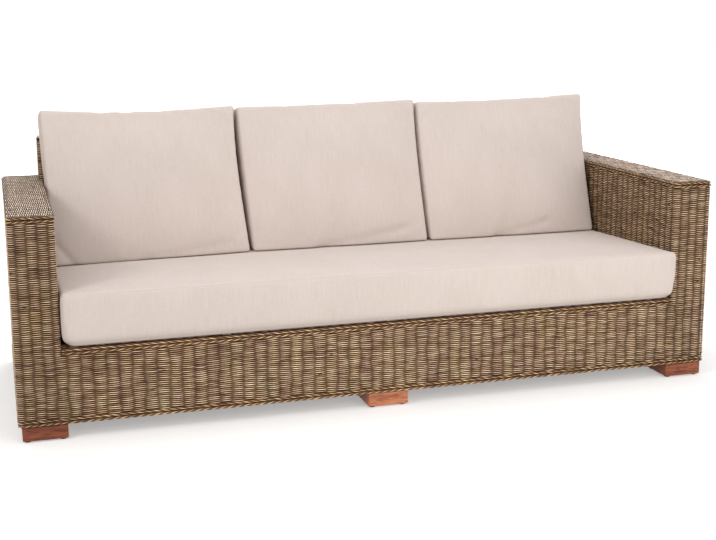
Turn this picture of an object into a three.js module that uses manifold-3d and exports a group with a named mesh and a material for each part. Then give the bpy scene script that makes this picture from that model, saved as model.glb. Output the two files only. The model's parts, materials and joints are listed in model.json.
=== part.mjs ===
// Rattan garden sofa.
// A timber frame stands on six wooden feet. Woven rattan walls with upright stakes are worked
// round it, each finished by a rope border, and four loose cushions lie in the seat.
// Millimetres. +X runs along the seat, +Y from the front to the back, +Z up.
// The origin is on the ground, in the middle of the sofa's footprint.
import * as THREE from 'three';
import { mergeVertices } from 'three/addons/utils/BufferGeometryUtils.js';
import Module from 'manifold-3d';

const wasm = await Module();
wasm.setup();

// Overall sizes
const SOFA_WIDTH = 2200;
const SOFA_DEPTH = 870;
const ARM_WIDTH = 130;
const ARM_HEIGHT = 650;
const SEAT_LEVEL = 268;
const BACK_RISE = 136;
const BACK_TOP_DEPTH = 80;
const BACK_OVERHANG = 11;
const BACK_LEAN = THREE.MathUtils.degToRad(18);
const FIT_GAP = 0.3;

// Feet
const FOOT_WIDTH = 128;
const FOOT_DEPTH = 122;
const FOOT_HEIGHT = 41;
const FOOT_SIDE_INSET = 10;
const FOOT_FRONT_INSET = 2;
const FOOT_EDGE = 3;
const GLIDE_RADIUS = 9;
const GLIDE_HEIGHT = 4;
const GLIDE_INSET = 15;

// Woven rattan
const SKIN = 9;
const STAKE_PITCH = 36.7;
const RIB_DEPTH = 3;
const CORNER_RADIUS = 12;
const BORDER_HEIGHT = 20;
const BORDER_PROUD = 1.5;
const ROPE_ROUNDING = 3;
const APRON_LIP = 30;

// Timber frame
const TIMBER = 40;
const TIMBER_EDGE = 2;
const SEAT_RAIL_DEPTH = 60;
const REAR_SEAT_RAIL_DEPTH = 82;
const ARM_RAIL_THICKNESS = 20;
const BACK_POST_WIDTH = 30;
const BACK_POST_DEPTH = 40;
const BACK_TOP_RAIL_DEPTH = 58;
const SLAT_WIDTH = 70;
const SLAT_THICKNESS = 15;
const SLAT_COUNT = 8;

// Cushions
const SEAT_CUSHION_PROUD = 15;
const SEAT_CUSHION_BACK_GAP = 6;
const SEAT_CUSHION_SIDE_GAP = 3;
const SEAT_CUSHION_THICKNESS = 138;
const SEAT_CUSHION_CROWN = 24;
const SEAT_CUSHION_EDGE = 16;
const SEAT_CUSHION_BULGE = 5;
const BACK_CUSHION_NAMES = ['left', 'middle', 'right'];
const BACK_CUSHION_GAP = 9;
const BACK_CUSHION_ARM_GAP = 10;
const BACK_CUSHION_OVERTOP = 101;
const BACK_CUSHION_THICKNESS = 148;
const BACK_CUSHION_BELLY = 24;
const BACK_CUSHION_REAR_CROWN = 8;
const BACK_CUSHION_EDGE = 16;
const BACK_CUSHION_SIDE_DRAW = 5;
const BACK_CUSHION_TOP_DRAW = 12;

// Shares that place and shape what the sizes above carry
const RIB_SHARES = [[0, 1], [0.3, 0], [0.7, 0]];
const SEAT_CROWN_SHIFT_SHARE = 0.45;
const BACK_POST_PLACE_SHARES = [-0.965, -0.333, 0.333, 0.965];
const BACK_STUD_PLACE_SHARES = [-0.65, 0.65];

// How sharply the crowns fall off: 2 is an arc, and a higher power is flatter in the middle
const ARC_POWER = 2;
const PILLOW_POWER = 2.4;
const CORNER_POWER = 4;
const BENCH_POWER = 8;

// Facets
const CORNER_STEPS = 3;
const GLIDE_SIDES = 12;
const FINE_EDGE_STEPS = 2;
const SEAT_CUSHION_SEGMENTS = [16, 10, 6];
const BACK_CUSHION_SEGMENTS = [10, 6, 10];

// Places that follow from the sizes, with y = 0 at the woven front and z = 0 on the ground
const halfWidth = SOFA_WIDTH / 2;
const seatHalf = halfWidth - ARM_WIDTH;
const skirtBottom = FOOT_HEIGHT + GLIDE_HEIGHT;
const seatWallTop = SEAT_LEVEL - BORDER_HEIGHT;
const armWallTop = ARM_HEIGHT - BORDER_HEIGHT;
const backHeight = ARM_HEIGHT + BACK_RISE;
const backTopUnderside = backHeight - SKIN;
const frameInset = SKIN + FIT_GAP;
const frameFront = frameInset;
const frameBack = SOFA_DEPTH - frameInset;
const frameBottom = skirtBottom + FIT_GAP;
const lowRailTop = frameBottom + TIMBER;
const deckTop = SEAT_LEVEL;
const seatRailTop = deckTop - SLAT_THICKNESS - FIT_GAP;
const seatRailBottom = seatRailTop - TIMBER;
const armFrameWidth = ARM_WIDTH - 2 * frameInset;
const armRailTop = ARM_HEIGHT - SKIN - FIT_GAP;
const armRailBottom = armRailTop - ARM_RAIL_THICKNESS;
const leanSlope = Math.tan(BACK_LEAN);
const backFaceTop = SOFA_DEPTH - BACK_TOP_DEPTH;
const backFaceAt = (z) => backFaceTop - (backHeight - z) * leanSlope;
const backPostFront = (z) => backFaceAt(z) + (SKIN + FIT_GAP) / Math.cos(BACK_LEAN);
const backPostBack = (z) => backPostFront(z) + BACK_POST_DEPTH / Math.cos(BACK_LEAN);
const backRailTop = backTopUnderside - FIT_GAP;
const backRailBottom = backRailTop - TIMBER;

const finish = (color, roughness) =>
  new THREE.MeshStandardMaterial({ color, roughness, metalness: 0 });
const finishes = {
  rattan: () => finish(0x9c7d58, 0.6),
  border: () => finish(0xb08d62, 0.6),
  timber: () => finish(0xb98a5c, 0.7),
  foot: () => finish(0x9a5232, 0.5),
  cushion: () => finish(0xded3c8, 0.95),
};

const sofa = new THREE.Group();
const body = new THREE.Group();
sofa.add(body);

function place(name, geometry, material, x = 0, y = 0, z = 0) {
  const mesh = new THREE.Mesh(geometry, material());
  mesh.name = name;
  mesh.position.set(x, y, z);
  body.add(mesh);
  return mesh;
}

// Solids for joining and cutting
function toSolid(geometry) {
  const bare = geometry.clone();
  bare.deleteAttribute('normal');
  bare.deleteAttribute('uv');
  const merged = mergeVertices(bare);
  return new wasm.Manifold(new wasm.Mesh({
    numProp: 3,
    vertProperties: new Float32Array(merged.attributes.position.array),
    triVerts: new Uint32Array(merged.index.array),
  }));
}

function toGeometry(solid) {
  const mesh = solid.getMesh();
  const geometry = new THREE.BufferGeometry();
  geometry.setAttribute('position', new THREE.BufferAttribute(mesh.vertProperties, 3));
  geometry.setIndex(new THREE.BufferAttribute(mesh.triVerts, 1));
  geometry.computeVertexNormals();
  return geometry;
}

const joined = (...geometries) =>
  toGeometry(geometries.map(toSolid).reduce((sum, next) => sum.add(next)));
const cut = (geometry, ...tools) =>
  toGeometry(tools.map(toSolid).reduce((rest, tool) => rest.subtract(tool), toSolid(geometry)));

// A block between two corners, and a timber with eased edges between two corners
function block([x0, y0, z0], [x1, y1, z1]) {
  const geometry = new THREE.BoxGeometry(x1 - x0, y1 - y0, z1 - z0);
  return geometry.translate((x0 + x1) / 2, (y0 + y1) / 2, (z0 + z1) / 2);
}

function easedBlock([x0, y0, z0], [x1, y1, z1], edge, steps) {
  const shape = new THREE.Shape([
    new THREE.Vector2(x0, y0), new THREE.Vector2(x1, y0),
    new THREE.Vector2(x1, y1), new THREE.Vector2(x0, y1),
  ]);
  const geometry = new THREE.ExtrudeGeometry(shape, {
    depth: z1 - z0 - 2 * edge,
    bevelThickness: edge, bevelSize: edge, bevelOffset: -edge, bevelSegments: steps,
  });
  return geometry.translate(0, 0, z0 + edge);
}

const timber = (name, low, high) =>
  place(name, easedBlock(low, high, TIMBER_EDGE, 1), finishes.timber);

// Profiles drawn in the YZ plane and run along X
const alongX = new THREE.Matrix4().makeBasis(
  new THREE.Vector3(0, 1, 0), new THREE.Vector3(0, 0, 1), new THREE.Vector3(1, 0, 0));
// Profiles drawn in the XZ plane and run along -Y
const alongY = new THREE.Matrix4().makeBasis(
  new THREE.Vector3(1, 0, 0), new THREE.Vector3(0, 0, 1), new THREE.Vector3(0, -1, 0));

function run(points, length, basis) {
  const shape = new THREE.Shape(points.map(([a, b]) => new THREE.Vector2(a, b)));
  const geometry = new THREE.ExtrudeGeometry(shape, { depth: length, bevelEnabled: false });
  return basis ? geometry.applyMatrix4(basis) : geometry;
}

// A straight stretch of woven face. Each stake makes a rib, with a groove between two ribs.
// The walk from start to end has the outside of the wall on its right.
function ribbedStretch(start, end) {
  const along = end.clone().sub(start);
  const inward = new THREE.Vector2(-along.y, along.x).normalize().multiplyScalar(RIB_DEPTH);
  const count = Math.max(1, Math.round(along.length() / STAKE_PITCH));
  const points = [start.clone()];
  for (let stake = 0; stake < count; stake += 1) {
    for (const [alongShare, depthShare] of RIB_SHARES) {
      if (stake + alongShare > 0) {
        const share = (stake + alongShare) / count;
        points.push(start.clone().addScaledVector(along, share).addScaledVector(inward, depthShare));
      }
    }
  }
  points.push(end.clone());
  return points;
}

// The profile of a flat woven top, ribbed across its upper side
function ribbedPanel(low, high, height) {
  const upper = ribbedStretch(new THREE.Vector2(high, height), new THREE.Vector2(low, height));
  return [...upper.map((point) => point.toArray()), [low, height - SKIN], [high, height - SKIN]];
}

// The plan of a woven wall: its outer face follows the corners, rounded and ribbed, and its
// inner face is square to the timber. The walk has the outside of the wall on its right.
function wallPlan(corners, ribbed, proud = 0) {
  const points = corners.map(([x, y]) => new THREE.Vector2(x, y));
  const headings = points.slice(1).map((point, i) => point.clone().sub(points[i]).normalize());
  const outwards = headings.map((heading) => new THREE.Vector2(heading.y, -heading.x));
  const outer = [];
  const inner = [points[0].clone().addScaledVector(outwards[0], -SKIN)];
  const last = headings.length - 1;
  headings.forEach((heading, i) => {
    const trimStart = i > 0 ? CORNER_RADIUS : 0;
    const trimEnd = i < last ? CORNER_RADIUS : 0;
    const start = points[i].clone().addScaledVector(heading, trimStart);
    const end = points[i + 1].clone().addScaledVector(heading, -trimEnd);
    const face = ribbed ? ribbedStretch(start, end) : [start, end];
    outer.push(...face.map((point) => point.addScaledVector(outwards[i], proud)));
    const innerCorner = points[i + 1].clone().addScaledVector(outwards[i], -SKIN);
    if (i < last) {
      innerCorner.addScaledVector(outwards[i + 1], -SKIN);
      const centre = end.clone().addScaledVector(outwards[i], -CORNER_RADIUS);
      for (let step = 1; step < CORNER_STEPS; step += 1) {
        const angle = outwards[i].angle() + (step / CORNER_STEPS) * (Math.PI / 2);
        const ray = new THREE.Vector2(Math.cos(angle), Math.sin(angle));
        outer.push(centre.clone().addScaledVector(ray, CORNER_RADIUS + proud));
      }
    }
    inner.push(innerCorner);
  });
  return [...outer, ...inner.reverse()];
}

function wall(corners, bottom, top) {
  const shape = new THREE.Shape(wallPlan(corners, true));
  const geometry = new THREE.ExtrudeGeometry(shape, { depth: top - bottom, bevelEnabled: false });
  return geometry.translate(0, 0, bottom);
}

// A rope border: two rounded strands, one above the other, along the same walk as its wall
function ropeBorder(corners, bottom, top) {
  const strand = (top - bottom + ROPE_ROUNDING / 2) / 2;
  const shape = new THREE.Shape(wallPlan(corners, false, BORDER_PROUD));
  const ropes = [bottom, top - strand].map((low) => new THREE.ExtrudeGeometry(shape, {
    depth: strand - 2 * ROPE_ROUNDING,
    bevelThickness: ROPE_ROUNDING, bevelSize: ROPE_ROUNDING, bevelOffset: -ROPE_ROUNDING,
    bevelSegments: FINE_EDGE_STEPS,
  }).translate(0, 0, low + ROPE_ROUNDING));
  return joined(...ropes);
}

// Feet: a square block of red hardwood on four round glides
function foot(name, x, y) {
  const parts = [easedBlock([x, y, GLIDE_HEIGHT], [x + FOOT_WIDTH, y + FOOT_DEPTH, skirtBottom],
    FOOT_EDGE, FINE_EDGE_STEPS)];
  const glide = new THREE.CylinderGeometry(
    GLIDE_RADIUS, GLIDE_RADIUS, GLIDE_HEIGHT * 2, GLIDE_SIDES);
  glide.rotateX(Math.PI / 2);
  for (const glideX of [x + GLIDE_INSET, x + FOOT_WIDTH - GLIDE_INSET]) {
    for (const glideY of [y + GLIDE_INSET, y + FOOT_DEPTH - GLIDE_INSET]) {
      parts.push(glide.clone().translate(glideX, glideY, GLIDE_HEIGHT));
    }
  }
  place(name, joined(...parts), finishes.foot);
}

const footColumns = {
  left: FOOT_SIDE_INSET - halfWidth,
  middle: -FOOT_WIDTH / 2,
  right: halfWidth - FOOT_SIDE_INSET - FOOT_WIDTH,
};
const footRows = { front: FOOT_FRONT_INSET, rear: SOFA_DEPTH - FOOT_FRONT_INSET - FOOT_DEPTH };
for (const [row, y] of Object.entries(footRows)) {
  for (const [column, x] of Object.entries(footColumns)) {
    foot(`foot_${row}_${column}`, x, y);
  }
}

// Low ring of rails that the feet are fixed to, with a bearer over the middle feet
const railEnd = halfWidth - frameInset;
timber('front_bottom_rail',
  [-railEnd, frameFront, frameBottom], [railEnd, frameFront + TIMBER, lowRailTop]);
timber('rear_bottom_rail',
  [-railEnd, frameBack - TIMBER, frameBottom], [railEnd, frameBack, lowRailTop]);
const bearerFront = frameFront + TIMBER + FIT_GAP;
const bearerBack = frameBack - TIMBER - FIT_GAP;
timber('left_bottom_rail',
  [-railEnd, bearerFront, frameBottom], [TIMBER - railEnd, bearerBack, lowRailTop]);
timber('right_bottom_rail',
  [railEnd - TIMBER, bearerFront, frameBottom], [railEnd, bearerBack, lowRailTop]);
timber('middle_bearer',
  [-TIMBER / 2, bearerFront, frameBottom], [TIMBER / 2, bearerBack, lowRailTop]);

// Arm frames: a front and a rear post as wide as the arm, under a flat rail
const postBottom = lowRailTop + FIT_GAP;
const postTop = armRailBottom - FIT_GAP;
const postInside = railEnd - armFrameWidth;
const armSides = { left: [-railEnd, -postInside], right: [postInside, railEnd] };
for (const [side, [x0, x1]] of Object.entries(armSides)) {
  timber(`${side}_arm_front_post`, [x0, frameFront, postBottom], [x1, frameFront + TIMBER, postTop]);
  timber(`${side}_arm_rear_post`, [x0, frameBack - TIMBER, postBottom], [x1, frameBack, postTop]);
  timber(`${side}_arm_top_rail`, [x0, frameFront, armRailBottom], [x1, frameBack, armRailTop]);
}

// Seat frame: side rails under the inner arm walls, front and rear rails between them
const sideRailTop = seatWallTop - FIT_GAP;
const sideRailBottom = sideRailTop - TIMBER;
timber('left_seat_rail', [-seatHalf - TIMBER, bearerFront, sideRailBottom],
  [-seatHalf, bearerBack, sideRailTop]);
timber('right_seat_rail', [seatHalf, bearerFront, sideRailBottom],
  [seatHalf + TIMBER, bearerBack, sideRailTop]);
const seatRailEnd = seatHalf - FIT_GAP;
timber('front_seat_rail', [-seatRailEnd, frameFront, seatRailBottom],
  [seatRailEnd, frameFront + SEAT_RAIL_DEPTH, seatRailTop]);
const rearSeatRailBack = backPostBack(seatRailTop) + FIT_GAP;
const rearSeatRailFront = rearSeatRailBack - REAR_SEAT_RAIL_DEPTH;
timber('rear_seat_rail', [-seatRailEnd, rearSeatRailFront, seatRailBottom],
  [seatRailEnd, rearSeatRailBack, seatRailTop]);
const middlePostTop = seatRailBottom - FIT_GAP;
timber('front_middle_post', [-TIMBER / 2, frameFront, postBottom],
  [TIMBER / 2, frameFront + TIMBER, middlePostTop]);
timber('rear_middle_post', [-TIMBER / 2, rearSeatRailBack - TIMBER, postBottom],
  [TIMBER / 2, rearSeatRailBack, middlePostTop]);

// Seat slats from the front rail to the rear rail
const slatFront = frameInset + APRON_LIP + FIT_GAP;
const slatBack = backFaceAt(deckTop) - FIT_GAP;
const slatPitch = (2 * seatRailEnd - SLAT_WIDTH) / (SLAT_COUNT - 1);
for (let slat = 0; slat < SLAT_COUNT; slat += 1) {
  const x = -seatRailEnd + slat * slatPitch;
  timber(`seat_slat_${slat + 1}`, [x, slatFront, deckTop - SLAT_THICKNESS],
    [x + SLAT_WIDTH, slatBack, deckTop]);
}

// Back frame: leaning posts on the rear seat rail, upright studs behind, and a top rail
const postFoot = seatRailTop + FIT_GAP;
const postHead = backRailBottom - FIT_GAP;
BACK_POST_PLACE_SHARES.forEach((share, i) => {
  const x = share * (seatRailEnd - BACK_POST_WIDTH / 2) - BACK_POST_WIDTH / 2;
  const profile = [
    [backPostFront(postFoot), postFoot], [backPostBack(postFoot), postFoot],
    [backPostBack(postHead), postHead], [backPostFront(postHead), postHead],
  ];
  place(`back_post_${i + 1}`, run(profile, BACK_POST_WIDTH, alongX), finishes.timber, x);
});
const railFront = backPostFront(backRailTop);
timber('back_top_rail', [-seatHalf + TIMBER, railFront, backRailBottom],
  [seatHalf - TIMBER, railFront + BACK_TOP_RAIL_DEPTH, backRailTop]);
BACK_STUD_PLACE_SHARES.forEach((share, i) => {
  const x = share * seatRailEnd;
  const front = railFront + BACK_TOP_RAIL_DEPTH - TIMBER;
  timber(`back_stud_${i + 1}`, [x - TIMBER / 2, front, postBottom],
    [x + TIMBER / 2, railFront + BACK_TOP_RAIL_DEPTH, postHead]);
});

// Woven skirt round the base. A rope border along the ground edge is worked into each wall.
function skirtWall(name, corners) {
  const ropeTop = skirtBottom + BORDER_HEIGHT;
  place(name, joined(
    wall(corners, ropeTop - ROPE_ROUNDING, seatWallTop - FIT_GAP),
    ropeBorder(corners, skirtBottom, ropeTop)), finishes.rattan);
}
const cornerReturn = CORNER_RADIUS + SKIN;
skirtWall('front_skirt_weave', [
  [-halfWidth, cornerReturn], [-halfWidth, 0], [halfWidth, 0], [halfWidth, cornerReturn]]);
skirtWall('rear_skirt_weave', [
  [halfWidth, SOFA_DEPTH - cornerReturn], [halfWidth, SOFA_DEPTH],
  [-halfWidth, SOFA_DEPTH], [-halfWidth, SOFA_DEPTH - cornerReturn]]);
const sideFront = cornerReturn + FIT_GAP;
const sideBack = SOFA_DEPTH - cornerReturn - FIT_GAP;
skirtWall('left_skirt_weave', [[-halfWidth, sideBack], [-halfWidth, sideFront]]);
skirtWall('right_skirt_weave', [[halfWidth, sideFront], [halfWidth, sideBack]]);

// Woven arms: one wall round the outside, the front and the inside, a border and a flat top
const innerBack = SOFA_DEPTH - SKIN - FIT_GAP;
const armWalks = {
  left: [[-halfWidth, sideBack], [-halfWidth, 0], [-seatHalf, 0], [-seatHalf, innerBack]],
  right: [[seatHalf, innerBack], [seatHalf, 0], [halfWidth, 0], [halfWidth, sideBack]],
};
for (const [side, walk] of Object.entries(armWalks)) {
  place(`${side}_arm_weave`, wall(walk, seatWallTop, armWallTop - FIT_GAP), finishes.rattan);
  place(`${side}_arm_border`, ropeBorder(walk, armWallTop, ARM_HEIGHT), finishes.border);
  place(`${side}_arm_top_weave`,
    run(ribbedPanel(frameFront, innerBack, ARM_HEIGHT), armFrameWidth, alongX),
    finishes.rattan, armSides[side][0]);
}

// Rope border and lip along the top of the apron, between the arms
const apronEnd = seatHalf - FIT_GAP;
place('apron_border', joined(
  ropeBorder([[-apronEnd, 0], [apronEnd, 0]], seatWallTop, SEAT_LEVEL),
  block([-apronEnd, SKIN / 2, deckTop - SLAT_THICKNESS],
    [apronEnd, frameInset + APRON_LIP, deckTop - ROPE_ROUNDING])), finishes.border);

// Woven back: an upright outer wall, a leaning inner face, a flat top and two small ends
const shoulder = seatHalf + BACK_OVERHANG;
const outerWall = wall([
  [halfWidth, SOFA_DEPTH - cornerReturn], [halfWidth, SOFA_DEPTH],
  [-halfWidth, SOFA_DEPTH], [-halfWidth, SOFA_DEPTH - cornerReturn],
], seatWallTop, backTopUnderside - FIT_GAP);
const besideBack = (x0, x1) => block(
  [x0, SOFA_DEPTH - ARM_WIDTH, ARM_HEIGHT], [x1, SOFA_DEPTH + ARM_WIDTH, backHeight]);
place('back_outer_weave', cut(outerWall,
  besideBack(-SOFA_WIDTH, -shoulder), besideBack(shoulder, SOFA_WIDTH)), finishes.rattan);

const faceBottom = deckTop + SKIN;
const faceTop = backTopUnderside - FIT_GAP;
const faceLength = (faceTop - faceBottom) / Math.cos(BACK_LEAN);
const faceEnd = seatHalf - BORDER_PROUD - FIT_GAP;
const facePlan = wallPlan([[-faceEnd, 0], [faceEnd, 0]], true);
const face = new THREE.ExtrudeGeometry(new THREE.Shape(facePlan),
  { depth: faceLength, bevelEnabled: false });
const innerFace = place('back_inner_weave', face, finishes.rattan,
  0, backFaceAt(faceBottom), faceBottom);
innerFace.rotation.x = -BACK_LEAN;

place('back_top_weave',
  run(ribbedPanel(-shoulder, shoulder, backHeight), BACK_TOP_DEPTH, alongY),
  finishes.rattan, 0, SOFA_DEPTH);

const endFoot = ARM_HEIGHT + FIT_GAP;
const endProfile = [
  [backFaceAt(endFoot), endFoot], [innerBack, endFoot],
  [innerBack, faceTop], [backFaceAt(faceTop), faceTop],
];
const endThickness = BACK_OVERHANG + BORDER_PROUD;
place('left_back_end_weave', run(endProfile, endThickness, alongX), finishes.rattan, -shoulder);
place('right_back_end_weave', run(endProfile, endThickness, alongX), finishes.rattan,
  seatHalf - BORDER_PROUD);

// Cushions. A cube's skin is drawn out to the cushion: its lines crowd towards the seams, its
// edges are rounded, and then its faces are crowned and its sides drawn in.
const towardsSeam = (share) => Math.sin(share * Math.PI / 2);

function cushion(name, segments, half, edge, shapeIt) {
  const cube = new THREE.BoxGeometry(2, 2, 2, ...segments);
  cube.deleteAttribute('normal');
  cube.deleteAttribute('uv');
  const geometry = mergeVertices(cube);
  const position = geometry.attributes.position;
  const point = new THREE.Vector3();
  for (let i = 0; i < position.count; i += 1) {
    point.fromBufferAttribute(position, i);
    const shares = point.clone().set(...point.toArray().map(towardsSeam));
    const spread = shares.clone().multiply(half);
    const limit = half.clone().subScalar(edge);
    const core = spread.clone().clamp(limit.clone().negate(), limit);
    const rounded = spread.sub(core).normalize().multiplyScalar(edge).add(core);
    const shaped = shapeIt(rounded, shares);
    position.setXYZ(i, shaped.x, shaped.y, shaped.z);
  }
  geometry.computeVertexNormals();
  return place(name, geometry, finishes.cushion);
}

// A dome is 1 in the middle and 0 at both ends; atEnds is 0 in the middle and -1 or 1 at an end
const dome = (share, power) => 1 - Math.abs(share) ** power;
const atEnds = (share) => Math.sign(share) * Math.abs(share) ** CORNER_POWER;

// Seat cushion: one long block whose top is highest near the front and falls to the back
const seatFront = -SEAT_CUSHION_PROUD;
const seatBack = backFaceAt(SEAT_LEVEL) - SEAT_CUSHION_BACK_GAP;
const seatDepth = seatBack - seatFront;
const seatCushionBottom = SEAT_LEVEL + FIT_GAP;
const seatHalfSizes = new THREE.Vector3(
  seatHalf - SEAT_CUSHION_SIDE_GAP, seatDepth / 2, SEAT_CUSHION_THICKNESS / 2);
function seatCrown(acrossShare, depthShare) {
  const fromCrest = (depthShare + SEAT_CROWN_SHIFT_SHARE) / (1 + SEAT_CROWN_SHIFT_SHARE);
  return SEAT_CUSHION_CROWN * dome(acrossShare, BENCH_POWER) * dome(fromCrest, ARC_POWER);
}
function seatCushionShape(point, shares) {
  const raise = (point.z + seatHalfSizes.z) / SEAT_CUSHION_THICKNESS;
  const sidePull = SEAT_CUSHION_BULGE * dome(shares.y, ARC_POWER) * atEnds(shares.x);
  const frontPull = SEAT_CUSHION_BULGE * shares.z ** ARC_POWER * Math.max(0, -atEnds(shares.y));
  return new THREE.Vector3(
    point.x - sidePull,
    seatFront + seatDepth / 2 + point.y + frontPull,
    seatCushionBottom + seatHalfSizes.z + point.z + seatCrown(shares.x, shares.y) * raise);
}
cushion('seat_cushion', SEAT_CUSHION_SEGMENTS, seatHalfSizes, SEAT_CUSHION_EDGE, seatCushionShape);

// Back cushions: boxed pillows that stand on the seat cushion and lean on the woven back
const backCushionBottom = (() => {
  const frontEdgeY = backFaceAt(seatCushionBottom + SEAT_CUSHION_THICKNESS)
    - (BACK_CUSHION_THICKNESS + BACK_CUSHION_REAR_CROWN) / Math.cos(BACK_LEAN);
  const depthShare = (frontEdgeY - seatFront) / seatDepth * 2 - 1;
  return seatCushionBottom + SEAT_CUSHION_THICKNESS + seatCrown(0, depthShare) + FIT_GAP;
})();
const backCushionCount = BACK_CUSHION_NAMES.length;
const backCushionPitch =
  (2 * (seatHalf - BACK_CUSHION_ARM_GAP) + BACK_CUSHION_GAP) / backCushionCount;
const backCushionHeight = backHeight + BACK_CUSHION_OVERTOP - backCushionBottom;
const backHalfSizes = new THREE.Vector3(
  (backCushionPitch - BACK_CUSHION_GAP) / 2, BACK_CUSHION_THICKNESS / 2, backCushionHeight / 2);
function backCushionShape(point, shares) {
  const swell = dome(shares.x, PILLOW_POWER) * dome(shares.z, PILLOW_POWER);
  const front = Math.max(0, -shares.y) * BACK_CUSHION_BELLY * swell;
  const rear = Math.max(0, shares.y) * BACK_CUSHION_REAR_CROWN * swell;
  const across = point.y - backHalfSizes.y - front + rear;
  const top = Math.max(0, shares.z) ** ARC_POWER;
  const tilt = top * (point.y + backHalfSizes.y) * Math.sin(BACK_LEAN) / 2;
  const sag = top * BACK_CUSHION_TOP_DRAW * dome(shares.x, ARC_POWER);
  const sidePull = BACK_CUSHION_SIDE_DRAW * atEnds(shares.x) * dome(shares.z, ARC_POWER);
  const z = backCushionBottom + point.z + backHalfSizes.z - sag - tilt;
  const restY = backFaceAt(z) - (BACK_CUSHION_REAR_CROWN + FIT_GAP) / Math.cos(BACK_LEAN);
  return new THREE.Vector3(point.x - sidePull, restY + across / Math.cos(BACK_LEAN), z);
}
BACK_CUSHION_NAMES.forEach((side, i) => {
  const pillow = cushion(`back_cushion_${side}`,
    BACK_CUSHION_SEGMENTS, backHalfSizes, BACK_CUSHION_EDGE, backCushionShape);
  pillow.position.x = (i - (backCushionCount - 1) / 2) * backCushionPitch;
});

// The origin is in the middle between the seat cushion's front and the border at the back
body.position.y = -(seatFront + SOFA_DEPTH + BORDER_PROUD) / 2;

export default sofa;
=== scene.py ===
# %% [markdown]
# A rattan garden sofa, seen as a lesson in Blender.
# The real sofa is a timber frame on wooden feet. A weaver winds thin rattan strands in front of
# and behind upright stakes, all the way round it, and finishes each edge with twisted ropes.
# Loose cushions fill the seat. The solid model already holds every piece at its real size, so
# this script only adds what the eye wants: real strands, wood grain, and sewn cushions.
# Lengths are metres, X runs along the seat, Y to the back and Z up.

# %% Load the solid model
import json
import math

import bmesh
import bpy
import numpy as np
from mathutils import Matrix, Vector


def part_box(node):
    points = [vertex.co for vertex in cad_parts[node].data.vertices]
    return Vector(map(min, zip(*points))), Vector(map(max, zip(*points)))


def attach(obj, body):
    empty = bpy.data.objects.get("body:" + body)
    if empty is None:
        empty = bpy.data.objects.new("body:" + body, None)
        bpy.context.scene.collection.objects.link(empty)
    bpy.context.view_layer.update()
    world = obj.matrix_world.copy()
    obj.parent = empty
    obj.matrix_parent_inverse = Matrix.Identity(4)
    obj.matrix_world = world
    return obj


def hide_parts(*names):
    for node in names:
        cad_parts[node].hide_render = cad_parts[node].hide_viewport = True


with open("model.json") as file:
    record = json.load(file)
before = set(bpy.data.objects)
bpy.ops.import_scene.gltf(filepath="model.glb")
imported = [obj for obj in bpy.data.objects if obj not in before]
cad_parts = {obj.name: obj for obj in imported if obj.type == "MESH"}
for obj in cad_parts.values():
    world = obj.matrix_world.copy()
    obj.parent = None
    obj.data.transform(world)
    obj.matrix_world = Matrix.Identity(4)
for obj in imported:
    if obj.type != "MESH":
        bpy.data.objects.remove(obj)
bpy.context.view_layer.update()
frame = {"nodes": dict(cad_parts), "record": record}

MM = 0.001

# %% [markdown]
# The camera stands where the photographer stood: about 3.3 m in front of the sofa, near its left
# end, at standing chest height. It was fitted to corners of the sofa, so its turn, tilt and the
# slight roll are given as angles. The photograph is cropped a little off its lens axis, and the
# shift makes up for that. Blender keeps the data of a camera, lamp or mesh apart from the object
# that stands in the scene, and a small helper joins the two.

# %% Camera
CAMERA_PLACE = (-1.11419, -3.76249, 1.20273)
CAMERA_YAW = math.radians(16.235)
CAMERA_PITCH = math.radians(11.139)
CAMERA_ROLL = math.radians(-0.383)
FOCAL_PIXELS = 1195.02
FRAME_PIXELS = (716, 540)
AXIS_PIXEL = (343, 244)
SENSOR = 36.0


def stand(name, data):
    """A new object of the scene that shows this camera, lamp or mesh."""
    obj = bpy.data.objects.new(name, data)
    bpy.context.scene.collection.objects.link(obj)
    return obj


camera_data = bpy.data.cameras.new("photo_camera")
camera_data.sensor_width = SENSOR
camera_data.lens = FOCAL_PIXELS * SENSOR / FRAME_PIXELS[0]
camera_data.shift_x = (FRAME_PIXELS[0] / 2 - AXIS_PIXEL[0]) / FRAME_PIXELS[0]
camera_data.shift_y = (AXIS_PIXEL[1] - FRAME_PIXELS[1] / 2) / FRAME_PIXELS[0]
camera_data.clip_start = 0.1
camera_data.clip_end = 100.0
look = Vector((math.sin(CAMERA_YAW) * math.cos(CAMERA_PITCH),
               math.cos(CAMERA_YAW) * math.cos(CAMERA_PITCH), -math.sin(CAMERA_PITCH)))
level_right = Vector((math.cos(CAMERA_YAW), -math.sin(CAMERA_YAW), 0))
level_up = level_right.cross(look)
right = level_right * math.cos(CAMERA_ROLL) + level_up * math.sin(CAMERA_ROLL)
up = level_up * math.cos(CAMERA_ROLL) - level_right * math.sin(CAMERA_ROLL)
turn = Matrix((right, up, -look)).transposed()
camera = stand("photo_camera", camera_data)
camera.matrix_world = Matrix.Translation(CAMERA_PLACE) @ turn.to_4x4()
bpy.context.scene.camera = camera
print("lens", round(camera_data.lens, 2), "mm, shift", round(camera_data.shift_x, 4),
      round(camera_data.shift_y, 4))

# %% [markdown]
# Product photographs are lit by large soft boxes. One stands low and close in front, so the front
# of the seat is a little brighter than the cushions behind it. A smaller one, high on the left,
# lets the arm throw a soft shadow on the cushions. One overhead lifts the flat tops, one behind
# serves the views of the back, and an even pale world fills the rest.
# The view transform is Standard, so a colour comes out about as it is written.

# %% Lights and world
SEAT_CENTRE = (0, 0, 0.4)
WORLD_LIGHT = 0.76

scene = bpy.context.scene
scene.view_settings.view_transform = "Standard"


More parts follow.
